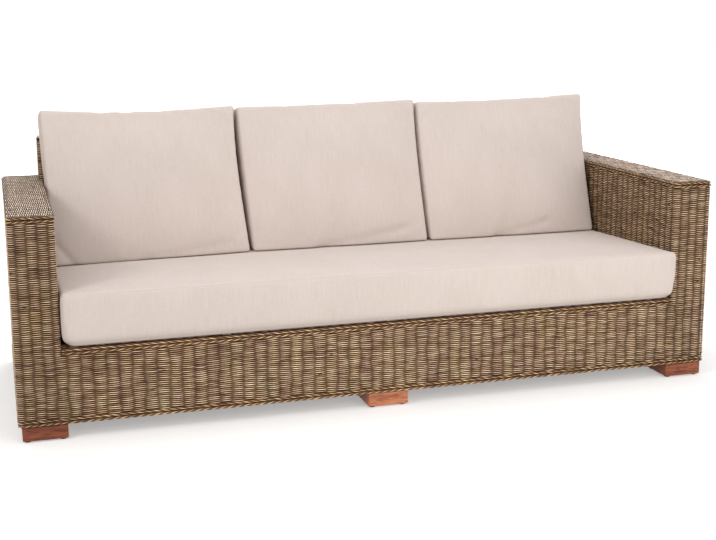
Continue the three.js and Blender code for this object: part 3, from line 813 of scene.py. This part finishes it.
rear_halves("rear_skirt", SKIRT_WEAVE_LOW, SKIRT_TOP, 0, True)
SKIRT_ROWS = 2 * round((SKIRT_TOP - SKIRT_WEAVE_LOW) / ROW_PITCH / 2)
ARM_ROWS = 2 * round((ARM_TOP - SKIRT_TOP) / ROW_PITCH / 2)
ARM_WEAVE_TOP = ARM_TOP - BORDER_HEIGHT
rear_halves("back_outer", SKIRT_TOP, ARM_TOP, SKIRT_ROWS, False)

# %% [markdown]
# An arm is woven round the outside, the front and the inside in one go, its edge is finished
# with the twisted border, and its flat top is woven the other way: the strands run to the back
# and the stakes lie across. Flat panels start to count their rows at a number of their own, so
# no two of them get strands that sway alike.

# %% Woven arms
for side, walk in (("left", left_arm_walk), ("right", right_arm_walk)):
    outside = (LEFT if side == "left" else RIGHT, REAR - CORNER_RETURN)
    behind = (SEAT_LEFT if side == "left" else SEAT_RIGHT, corner_of("left_arm_weave", True).y)
    start, stop = sorted((walk.along_at(outside), walk.along_at(behind)))
    woven_wall(f"{side}_arm", walk, start, stop, SKIRT_TOP, ARM_WEAVE_TOP, SKIRT_ROWS,
               [f"{side}_arm_weave"])
    rope_border(f"{side}_arm_rope", walk, start, stop, ARM_WEAVE_TOP, BORDER_HEIGHT,
                [f"{side}_arm_border"])


FLAT_FIRST_ROWS = {"left_arm_top": 200, "right_arm_top": 250, "back_inner_lower": 0,
                   "back_inner_upper": 90, "back_top": 300, "apron_lip": 340}
TO_RIGHT, TO_LEFT, TO_BACK = (1, 0, 0), (-1, 0, 0), (0, 1, 0)


def flat_panel(name, origin, along, up, length, width, finish, *replaced):
    """A flat woven panel: strands run along, and their rows follow one another up."""
    straight = Walk([(0, 0), (length, 0)])
    woven(name, straight, 0.0, straight.length, width, FLAT_FIRST_ROWS[name], finish, replaced,
          lambda mesh, co: lay(mesh, co, origin, along, up))


TOP_WEAVE_SINK = 4.2 * MM
TOP_WEAVE_SPREAD = 6 * MM
for side in ("left", "right"):
    low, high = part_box(f"{side}_arm_top_weave")
    corner = (high.x + TOP_WEAVE_SPREAD, low.y - TOP_WEAVE_SPREAD, high.z - TOP_WEAVE_SINK)
    flat_panel(f"{side}_arm_top", corner, TO_BACK, TO_LEFT, high.y - low.y + TOP_WEAVE_SPREAD,
               high.x - low.x + 2 * TOP_WEAVE_SPREAD, lit_top_rattan, f"{side}_arm_top_weave")

# %% [markdown]
# The back has a leaning inner face, a flat top and two small ends above the arms. The leaning
# face is two flat panels, one above the other, laid against a slope of 18 degrees that starts at
# the foot of the solid's own face. They reach a little past its ends, into the thin walls there,
# so no dark slit shows beside the cushions.

# %% Woven back
face_low, face_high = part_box("back_inner_weave")
top_low, top_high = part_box("back_top_weave")
LEAN = math.radians(18)
slope_up = (0, math.sin(LEAN), math.cos(LEAN))
face_length = (face_high.z - face_low.z) / math.cos(LEAN) - SKIN * math.tan(LEAN)
face_out = Vector((1, 0, 0)).cross(Vector(slope_up))
face_foot = Vector((face_low.x, face_low.y, face_low.z + SKIN * math.sin(LEAN)))
face_origin = face_foot - face_out * MID_DEPTH
half_face = face_length / 2
face_spread = face_low.x - top_low.x - MID_DEPTH / 2
face_side = Vector((-face_spread, 0, 0))
for part, foot_height in (("lower", 0), ("upper", half_face)):
    flat_panel(f"back_inner_{part}", face_origin + face_side + Vector(slope_up) * foot_height,
               TO_RIGHT, slope_up, face_high.x - face_low.x + 2 * face_spread, half_face,
               wall_rattan, "back_inner_weave")
flat_panel("back_top", (top_low.x + MID_DEPTH, top_low.y, top_high.z - MID_DEPTH), TO_RIGHT,
           TO_BACK, top_high.x - top_low.x - SKIN, top_high.y - top_low.y, lit_top_rattan,
           "back_top_weave")

shoulder = corner_of("left_back_end_weave", False)
upper_walk = Walk([(-shoulder.x, shoulder.y), (-shoulder.x, REAR), (shoulder.x, REAR),
                   (shoulder.x, shoulder.y)])


def behind_the_lean(mesh):
    """Cuts away what stands in front of the leaning face."""
    bm = bmesh.new()
    bm.from_mesh(mesh)
    bmesh.ops.bisect_plane(bm, geom=bm.verts[:] + bm.edges[:] + bm.faces[:], clear_outer=True,
                           plane_co=face_origin, plane_no=face_out)
    closed(bm)
    bm.to_mesh(mesh)
    bm.free()


print("upper walk stakes", len(upper_walk.stakes))
woven_wall("back_upper", upper_walk, 0.0, upper_walk.length, ARM_TOP, top_high.z - MID_DEPTH,
           SKIRT_ROWS + ARM_ROWS,
           ["left_back_end_weave", "right_back_end_weave", "back_outer_weave"],
           trim=behind_the_lean)

# %% [markdown]
# The top edge of the apron carries the same twisted border, with a narrow woven lip behind it
# that the seat cushion covers.

# %% Apron border
apron_low, apron_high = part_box("apron_border")
apron_start = base_walk.along_at((apron_low.x, FRONT))
apron_stop = base_walk.along_at((apron_high.x, FRONT))
rope_border("apron_rope", base_walk, apron_start, apron_stop, apron_high.z - BORDER_HEIGHT,
            BORDER_HEIGHT, ["apron_border"])
LIP_DROP = 4.2 * MM
flat_panel("apron_lip", (apron_low.x, FRONT + SKIN, apron_high.z - LIP_DROP), TO_RIGHT, TO_BACK,
           apron_high.x - apron_low.x, apron_high.y - FRONT - SKIN, wall_rattan)

# %% [markdown]
# The feet are blocks of red hardwood, and the frame inside is of a paler timber. Grain runs
# along the sofa, so the noise behind it is stretched in X: long, thin streaks, with wide, faint
# bands of heartwood. The front feet aren't equally dark in the photograph, so each column of
# feet has tones of its own.

# %% Wood finishes
ALONG_X = (3.0, 22.0, 22.0)
GRAIN_FINENESS = 6


def hardwood(name, tones, roughness):
    """Wood in three tones: light, dark, and the thin streaks."""
    r = Recipe(name)
    light, dark, streak = map(tone, tones)
    place = r.place()
    warp = r.noise(r.stretched(place, ALONG_X), 2.0, 3.0)
    fine = tuple(GRAIN_FINENESS * share for share in ALONG_X)
    grain = r.noise(r.stretched(place, fine), 2.0, 5.0, 0.65)
    colour = r.ramp(warp, (0.35, dark), (0.65, light))
    lines = r.ramp(grain, (0.36, streak), (0.54, EVEN))
    r.matt(r.blend(0.85, colour, lines, "MULTIPLY"), grain, 0.25, roughness, gloss=0.4)
    r.bump(grain, 0.2, 0.3 * MM)
    return r.material


FOOT_TONES = {"left": ("9c5233", "6e361d", "8f705a"), "middle": ("d98f67", "b26c49", "ad9280"),
              "right": ("ab6241", "834628", "977a64")}
foot_woods = {column: hardwood(f"foot_wood_{column}", tones, 0.32)
              for column, tones in FOOT_TONES.items()}
frame_wood = hardwood("frame_wood", ("c39b6b", "a87f50", "b39b80"), 0.5)
glide_plastic = speckled("glide_plastic", "2b2622", "3a332d", EVEN, 900.0, 0.45, 0.2)
print("wood finishes", [wood.name for wood in (*foot_woods.values(), frame_wood)])

# %% [markdown]
# A foot starts as a unit cube that is scaled to its node's box, less the height of the glides.
# Bevel with three segments breaks its edges, and Weighted Normal keeps its faces flat to the eye.
# Four turned glides sit under its corners.

# %% Feet
FOOT_EDGE = 4 * MM
GLIDE_RADIUS = 9 * MM
GLIDE_HEIGHT = 4 * MM
GLIDE_INSET = 15 * MM
GLIDE_SIDES = 28
GLIDE_EDGE = 1 * MM
TOUCH = 0.1 * MM


def foot(row, column):
    node = f"foot_{row}_{column}"
    low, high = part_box(node)
    bm = bmesh.new()
    block = bmesh.ops.create_cube(bm, size=1)["verts"]
    block_low = Vector((low.x, low.y, low.z + GLIDE_HEIGHT))
    bmesh.ops.scale(bm, vec=high - block_low, verts=block)
    bmesh.ops.translate(bm, vec=(high + block_low) / 2, verts=block)
    bmesh.ops.bevel(bm, geom=bm.edges[:], offset=FOOT_EDGE, offset_type="OFFSET", segments=3,
                    profile=0.5, affect="EDGES", material=-1)
    wood_faces = set(bm.faces)
    for x in (low.x + GLIDE_INSET, high.x - GLIDE_INSET):
        for y in (low.y + GLIDE_INSET, high.y - GLIDE_INSET):
            place = Matrix.Translation((x, y, low.z + GLIDE_HEIGHT))
            bmesh.ops.create_cone(bm, cap_ends=True, segments=GLIDE_SIDES, radius1=GLIDE_RADIUS,
                                  radius2=GLIDE_RADIUS, depth=2 * GLIDE_HEIGHT, matrix=place)
    rims = [e for e in bm.edges if e.link_faces and e.link_faces[0] not in wood_faces
            and all(abs(v.co.z - low.z) < TOUCH for v in e.verts)]
    bmesh.ops.bevel(bm, geom=rims, offset=GLIDE_EDGE, offset_type="OFFSET", segments=2,
                    profile=0.5, affect="EDGES", material=-1)
    for face in bm.faces:
        face.material_index = 0 if face in wood_faces else 1
    piece = smooth_object(node + "_block", made_mesh(bm, node), foot_woods[column], glide_plastic)
    flat_faces = piece.modifiers.new("even_shading", "WEIGHTED_NORMAL")
    flat_faces.keep_sharp = True
    dress(piece, "foot_hardwood", node)


for row in ("front", "rear"):
    for column in ("left", "middle", "right"):
        foot(row, column)
print("feet made, edge", FOOT_EDGE, "m")

# %% [markdown]
# The timber inside hardly shows, but it is real, so each solid keeps its shape and gets sawn
# wood in place of its plain colour.

# %% Timber frame
timbers = [m["node"] for m in frame["record"]["subparts"] if m["material_slot"] == "frame_timber"]
for name in timbers:
    node = frame["nodes"][name]
    node.data.materials.clear()
    node.data.materials.append(frame_wood)
print(len(timbers), "timbers")

# %% [markdown]
# The cushion covers are a linen-like cloth: slim upright threads of uneven thickness, which
# catch the light as faint streaks. The cover carries a map in metres that follows its threads,
# so the streaks run upright on the front and from front to back on top. A second value on the
# mesh, the distance to the nearest seam, lets the shader draw the stitched line.

# %% Cushion fabric
CLOTH_MAP = "cloth"
SEAM = "seam"
PER_CENTIMETRE = 100.0


def linen(name, light, dark):
    """Linen-like cloth from two tones, of the thread crowns and of the gaps between them."""
    r = Recipe(name)
    cloth = r.add("UVMap", {"uv_map": CLOTH_MAP}).outputs[0]
    slubs = r.noise(r.stretched(cloth, (420.0, 16.0, 1.0)), 1.0, 3.0, 0.6)
    threads = r.noise(r.stretched(cloth, (1100.0, 120.0, 1.0)), 1.0, 2.0, 0.6)
    wefts = r.noise(r.stretched(cloth, (40.0, 900.0, 1.0)), 1.0, 2.0, 0.6)
    mottle = r.noise(r.stretched(cloth, (9.0, 6.0, 1.0)), 1.0, 3.0)
    weave = r.sums("MULTIPLY_ADD", threads, 0.5, r.sums("MULTIPLY", wefts, 0.5))
    shade = r.sums("MULTIPLY_ADD", slubs, 0.38, r.sums("MULTIPLY", weave, 0.62))
    colour = r.ramp(shade, (0.3, dark), (0.68, light))
    stains = r.ramp(mottle, (0.3, (0.955, 0.95, 0.945)), (0.7, EVEN))
    colour = r.blend(1.0, colour, stains, "MULTIPLY")
    seam = r.add("Attribute", {"attribute_name": SEAM}).outputs["Fac"]
    stitched = r.ramp(r.sums("MULTIPLY", seam, PER_CENTIMETRE), (0.0, (0.74, 0.71, 0.68)),
                      (0.35, EVEN))
    r.matt(r.blend(0.35, colour, stitched, "MULTIPLY"), weave, 0.08, 0.86, gloss=0.15)
    r.bump(weave, 0.35, 0.5 * MM)
    r.feed(r.shader, "Sheen Weight", 0.12)
    r.feed(r.shader, "Sheen Roughness", 0.6)
    return r.material


greige_linen = linen("greige_linen", tone("d9cdc6"), tone("c6b7ae"))
print("fabric", greige_linen.name)

# %% [markdown]
# A boxed cushion is sewn from six panels of cloth. So is this one: six grids are joined along
# their edges, and that box is then filled. The Cloth simulation gives the filling a pressure:
# the seams are held, the cloth between them swells, and because it is cut a little too large it
# settles in soft, uneven creases. Only the shape of that swelling is kept. It is scaled to the
# measured height of the crown, because a pressure has no natural unit here.

# %% Sewn boxes
CELL = 13 * MM
FEWEST_CELLS = 4
CROWDING = 0.4
SEAM_REACH = 1 * MM
NOTHING = 1e-12
PANELS = ((0, 1, 2, 1), (0, 1, 2, -1), (0, 2, 1, 1), (0, 2, 1, -1), (1, 2, 0, 1), (1, 2, 0, -1))


def into_disc(a, b):
    """Turns the corner square of a rounding into its quarter disc, and gives its new radius."""
    square = np.maximum(np.abs(a), np.abs(b))
    scale = square / np.maximum(np.hypot(a, b), NOTHING)
    return a * scale, b * scale, square


def rounded_block(shares, size, corner, edge, low_edge):
    """Points of a block with rounded upright corners and other roundings above and below."""
    half = np.array(size) / 2
    spread = shares * half
    radius = edge + (low_edge - edge) * np.clip(-shares[:, 2], 0, 1)
    plan = (radius + corner - edge)[:, None]
    core = np.clip(spread[:, :2], plan - half[:2], half[:2] - plan)
    off = spread[:, :2] - core
    x, y, reach = into_disc(off[:, 0], off[:, 1])
    inner_z = np.clip(spread[:, 2], radius - half[2], half[2] - radius)
    out = np.maximum(0, reach - (corner - edge))
    new_out, new_up, _ = into_disc(out, spread[:, 2] - inner_z)
    pull = (reach - out + new_out) / np.maximum(reach, NOTHING)
    return np.column_stack((core[:, 0] + x * pull, core[:, 1] + y * pull, inner_z + new_up))


def sewn_box(name, size, corner, edge, low_edge):
    """Six sewn panels as a mesh, with its points rounded at the edges and their shares."""
    bm = bmesh.new()
    uv = bm.loops.layers.uv.new(CLOTH_MAP)
    for number, (u, v, n, sign) in enumerate(PANELS):
        axes = np.eye(3)
        along, up, out = axes[u], axes[v], axes[n] * sign
        if np.dot(np.cross(along, up), out) < 0:
            along = -along
        turn = Matrix(np.column_stack((along, up, out)).tolist()).to_4x4()
        columns, rows = (max(FEWEST_CELLS, round(size[axis] / CELL)) for axis in (u, v))
        grid = bmesh.ops.create_grid(
            bm, x_segments=columns, y_segments=rows, size=1.0,
            matrix=turn @ Matrix.Translation((0, 0, 1)), calc_uvs=True)
        for face in {f for vert in grid["verts"] for f in vert.link_faces}:
            for loop in face.loops:
                place = loop[uv].uv
                loop[uv].uv = (place.x * size[u] + 3 * number, place.y * size[v])
    bmesh.ops.remove_doubles(bm, verts=bm.verts[:], dist=WELD)
    mesh = made_mesh(bm, name)
    even = coordinates(mesh)
    shares = (1 - CROWDING) * even + CROWDING * np.sin(even * math.pi / 2)
    return mesh, rounded_block(shares, size, corner, edge, low_edge), shares


def seam_distance(shares, size):
    """How far each point is from the nearest seam, measured along its panel."""
    away = np.sort((1 - np.abs(shares)) * np.array(size) / 2, axis=1)
    return away[:, 1]


print("cloth cells", CELL, "m")

# %% [markdown]
# The simulation runs for 22 frames, which is enough for the cloth to come to rest. Its result is
# read from the evaluated mesh, and the object with the Cloth on it is thrown away.

# %% Filling the covers
SETTLE_FRAMES = 22
CLOTH_SETTINGS = {
    "quality": 6, "mass": 0.3, "tension_stiffness": 18, "compression_stiffness": 18,
    "shear_stiffness": 6, "bending_stiffness": 0.8, "air_damping": 2, "use_pressure": True,
    "uniform_pressure_force": 5}
MOST_SWELL = 1.25
TYPICAL_PERCENTILE = 99


def swell(name, mesh, base, held, loose):
    """How the simulated filling moves each point of a cover, in metres."""
    set_coordinates(mesh, base)
    obj = stand(name, mesh.copy())
    pins = obj.vertex_groups.new(name="held")
    pins.add([int(i) for i in np.flatnonzero(held)], 1.0, "REPLACE")
    cloth = obj.modifiers.new("filling", "CLOTH")
    settings = cloth.settings
    for key, value in CLOTH_SETTINGS.items():
        setattr(settings, key, value)
    settings.shrink_min = -loose
    settings.vertex_group_mass = "held"
    settings.effector_weights.gravity = 0
    cloth.point_cache.frame_start, cloth.point_cache.frame_end = 1, SETTLE_FRAMES
    for number in range(1, SETTLE_FRAMES + 1):
        scene.frame_set(number)
    settled = coordinates(finished_mesh(obj))
    scene.frame_set(1)
    return settled - base


def limited(moves, most):
    """Moves as they are while small, and never longer than most."""
    length = np.linalg.norm(moves, axis=1, keepdims=True)
    return moves * (most * np.tanh(length / most) / np.maximum(length, NOTHING))


def upholster(name, mesh, base, shares, size, held, loose, crown, tweak):
    """Fills a cover, refines it and returns the finished object."""
    moves = swell(name, mesh, base, held, loose)
    typical = np.percentile(np.linalg.norm(moves, axis=1), TYPICAL_PERCENTILE)
    moves = limited(moves * (crown / typical), MOST_SWELL * crown)
    print(name, "swells by", round(float(typical), 4), "m, kept as", round(crown, 4))
    seam = mesh.attributes.new(SEAM, "FLOAT", "POINT")
    seam.data.foreach_set("value", seam_distance(shares, size).astype(np.float32))
    set_coordinates(mesh, tweak(base + moves))
    obj = stand(name, mesh)
    smoother = obj.modifiers.new("rounded", "SUBSURF")
    smoother.levels = smoother.render_levels = 1
    cover = smooth_object(name, finished_mesh(obj), greige_linen)
    print(name, count_triangles(cover.data), "triangles")
    return cover


print("frames of settling", SETTLE_FRAMES)

# %% [markdown]
# The seat cushion is one long bench. It rests on the slats, so its underside is held, and its
# top is highest along the front and falls to the back, where the back cushions press a dent
# into it, deeper under the left one. Its lower front edge is lifted a little off the woven
# border. In front of the right arm nothing hems it in, so its end spreads there and its lower
# corner is squarer.

# %% Seat cushion
SEAT_THICKNESS = 134 * MM
SEAT_OVERHANG = 6 * MM
SEAT_BACK_GAP = 1 * MM
SEAT_CORNER = 16 * MM
SEAT_EDGE = 12 * MM
SEAT_LOW_EDGE = 34 * MM
SEAT_CROWN = 12 * MM
SEAT_RISE = 3 * MM
SEAT_FRONT_RISE = 25 * MM
SEAT_LOOSE = 0.006
CREST_SHIFT = 0.45
BENCH_POWER = 8
UNDERSIDE = 0.98
SQUARE_POWER = 5.0
FLARE = 9 * MM
FLARE_FROM, FLARE_FULL = 4 * MM, 11 * MM
FRONT_LIFT = 6 * MM
LIFT_FROM, LIFT_FULL = 0.88, 0.96
DENT_Z = 404 * MM
DENT_FALL = 8 * MM
DENT_START, DENT_FULL = -60 * MM, 70 * MM
DENT_DEPTH = 40 * MM
REST_GAP = 0.5 * MM
JUST_OVER = 1e-6


def square_lower_corner(base, end, bottom, radius):
    """Draws the round lower corner of the right end out to a squarer one."""
    out = np.clip((base[:, 0] - end + radius) / radius, JUST_OVER, None)
    down = np.clip((bottom + radius - base[:, 2]) / radius, JUST_OVER, None)
    square_reach = (out ** SQUARE_POWER + down ** SQUARE_POWER) ** (1 / SQUARE_POWER)
    grow = np.hypot(out, down) / square_reach - 1
    base[:, 0] += grow * out * radius
    base[:, 2] -= grow * down * radius


def seat_cushion():
    low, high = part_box("seat_cushion")
    above_low, above_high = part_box("back_cushion_left")
    size = (high.x - low.x, high.y - low.y + SEAT_OVERHANG - SEAT_BACK_GAP, SEAT_THICKNESS)
    mesh, base, shares = sewn_box("seat_cover", size, SEAT_CORNER, SEAT_EDGE, SEAT_LOW_EDGE)
    middle_y = (low.y + high.y - SEAT_OVERHANG) / 2
    base += np.array(((low.x + high.x) / 2, middle_y, low.z + SEAT_THICKNESS / 2))
    square_lower_corner(base, high.x, low.z, SEAT_LOW_EDGE)
    raise_by = (base[:, 2] - low.z) / SEAT_THICKNESS
    along, depth = shares[:, 0], (shares[:, 1] + CREST_SHIFT) / (1 + CREST_SHIFT)
    rounding = (1 - np.abs(along) ** BENCH_POWER) * (1 - np.abs(depth) ** 2)
    base[:, 2] += SEAT_RISE * raise_by * rounding
    base[:, 2] += SEAT_FRONT_RISE * raise_by * (1 - shares[:, 1]) / 2
    lift = np.clip((-shares[:, 1] - LIFT_FROM) / (LIFT_FULL - LIFT_FROM), 0, 1)
    base[:, 2] += FRONT_LIFT * (1 - raise_by) * lift
    held = (seam_distance(shares, size) < SEAM_REACH) | (shares[:, 2] < -UNDERSIDE)

    def tweak(co):
        pressed = np.clip((co[:, 1] - DENT_START) / (DENT_FULL - DENT_START), 0, 1)
        cap = DENT_Z + DENT_DEPTH * (1 - pressed * pressed * (3 - 2 * pressed))
        cap -= DENT_FALL * np.clip((above_high.x - co[:, 0]) / (above_high.x - above_low.x), 0, 1)
        co[:, 2] = np.clip(co[:, 2], low.z + REST_GAP, cap)
        co[:, 0] = np.clip(co[:, 0], SEAT_LEFT + REST_GAP, SEAT_RIGHT - REST_GAP)
        ahead = np.clip((FRONT - co[:, 1] - FLARE_FROM) / (FLARE_FULL - FLARE_FROM), 0, 1)
        near_end = np.clip((co[:, 0] - high.x) / SEAT_LOW_EDGE + 1, 0, 1)
        co[:, 0] += FLARE * ahead * near_end
        return co

    obj = upholster("seat_cushion_cover", mesh, base, shares, size, held, SEAT_LOOSE, SEAT_CROWN,
                    tweak)
    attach(obj, "seat_cushion")
    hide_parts("seat_cushion")


seat_cushion()

# %% [markdown]
# The back cushions are boxed too, but softer: their corners stay up while the top edge sags
# between them, the sides are drawn in, and the belly is fullest below the middle. They stand on
# the seat and lean on the woven back, so the whole box is first sheared onto that slope. Each
# one has its own numbers, read from the photograph: the sag of its top edge, how far its sides
# are drawn in, how far its corners have moved, the small puckers along the top seam, and the
# folds that run in from its lower edge. A pucker is a place along the top, a width and a dip. A
# fold is the two ends of its line on the front, from -1 to 1 each way, a width and a dip.

# %% Back cushions
BACK_THICKNESS = 140 * MM
BACK_CORNER = 8 * MM
BACK_EDGE = 9 * MM
BACK_LOW_EDGE = 8 * MM
BACK_CROWN = 12 * MM
BACK_LOOSE = 0.01
BELLY = 20 * MM
BELLY_POWER = 2.4
BELLY_DROP = 0.12
LEAN_GAP = 1.2 * MM
SINK = 11.5 * MM


def lean_at(z):
    """Depth of the leaning face of the woven back at a height."""
    return face_origin.y + face_out.y * MID_DEPTH + (z - face_foot.z) * math.tan(LEAN)


def drawn(along, height, shifts):
    """Shifts of the four corners, spread over the front: (left, right) below, then above."""
    right, up = (along + 1) / 2, (height + 1) / 2
    low_left, low_right, high_left, high_right = np.array(shifts) * MM
    low = np.outer(1 - right, low_left) + np.outer(right, low_right)
    high = np.outer(1 - right, high_left) + np.outer(right, high_right)
    return low * (1 - up)[:, None] + high * up[:, None]


def near_fold(shares, size, start, stop, width):
    """One on the line of a fold of the front, falling off to nothing beside it."""
    half = np.array((size[0], size[2])) / 2
    spread = shares[:, [0, 2]] * half
    first = np.array(start) * half
    run = np.array(stop) * half - first
    part = np.clip((spread - first) @ run / (run @ run), 0, 1)
    away = np.linalg.norm(spread - first - np.outer(part, run), axis=1)
    return np.exp(-(away / width) ** 2)


def back_cushion(side, sag, side_draws, corners, puckers, folds):
    node = f"back_cushion_{side}"
    low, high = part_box(node)
    size = (high.x - low.x, BACK_THICKNESS, high.z - low.z)
    mesh, base, shares = sewn_box(node + "_cover", size, BACK_CORNER, BACK_EDGE, BACK_LOW_EDGE)
    along, depth, height = shares.T
    top = np.maximum(0, height) ** 2
    waist = (1 - height ** 2) * (1 + height / 2) * np.abs(along) ** 3
    base[:, 0] += (low.x + high.x) / 2 + waist * np.where(along < 0, side_draws[0], -side_draws[1])
    into = base[:, 1] - BACK_THICKNESS / 2
    shift = drawn(along, height, corners)
    base[:, 0] += shift[:, 0]
    rise = base[:, 2] + size[2] / 2 + shift[:, 1]
    rise -= SINK * (1 - height) / 2
    rise -= top * sag * (1 - along ** 2)
    for place, width, dip in puckers:
        rise -= dip * top ** 3 * np.exp(-((along - place) / width) ** 2)
    rise -= top * (into + BACK_THICKNESS) * math.sin(LEAN) / 2
    fullness = (1 - np.abs(along) ** BELLY_POWER)
    fullness *= (1 - np.abs(height + BELLY_DROP) ** BELLY_POWER).clip(0)
    into -= BELLY * fullness * np.maximum(0, -depth)
    for start, stop, width, dip in folds:
        into += dip * near_fold(shares, size, start, stop, width) * np.maximum(0, -depth)
    base[:, 2] = low.z + rise
    base[:, 1] = lean_at(base[:, 2]) - LEAN_GAP + into / math.cos(LEAN)
    held = (seam_distance(shares, size) < SEAM_REACH) | (np.maximum(depth, -height) > UNDERSIDE)

    def tweak(co):
        co[:, 1] = np.minimum(co[:, 1], lean_at(co[:, 2]) - LEAN_GAP)
        between_arms = np.clip(co[:, 0], SEAT_LEFT + REST_GAP, SEAT_RIGHT - REST_GAP)
        co[:, 0] = np.where(co[:, 2] < ARM_TOP, between_arms, co[:, 0])
        return co

    obj = upholster(node + "_cover", mesh, base, shares, size, held, BACK_LOOSE, BACK_CROWN, tweak)
    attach(obj, node)
    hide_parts(node)


back_cushion("left", sag=13 * MM, side_draws=(0, 9 * MM),
             corners=((2, -8), (13, 0), (-13, 3), (-2, 1)),
             puckers=((-0.38, 0.07, 3 * MM), (-0.12, 0.06, 2.5 * MM), (0.2, 0.08, 1.5 * MM)),
             folds=(((-0.8, -1), (-0.96, -0.72), 11 * MM, 5 * MM),
                    ((-0.1, -1), (0.8, -0.85), 14 * MM, 6 * MM)))
back_cushion("middle", sag=4 * MM, side_draws=(-3 * MM, 5 * MM),
             corners=((13, 0), (2, 0), (-3, -5), (2, 4)),
             puckers=((-0.45, 0.08, 1.5 * MM), (0.3, 0.07, 1.5 * MM)),
             folds=(((-0.25, -1), (0.75, -0.8), 13 * MM, 9 * MM),))
back_cushion("right", sag=7 * MM, side_draws=(-4 * MM, 8 * MM),
             corners=((2, 0), (-1, 0), (0, -5), (13, 7)),
             puckers=((-0.2, 0.07, 1.5 * MM), (0.58, 0.06, 3 * MM)),
             folds=(((-0.22, -1), (0.4, -0.82), 12 * MM, 9 * MM),))
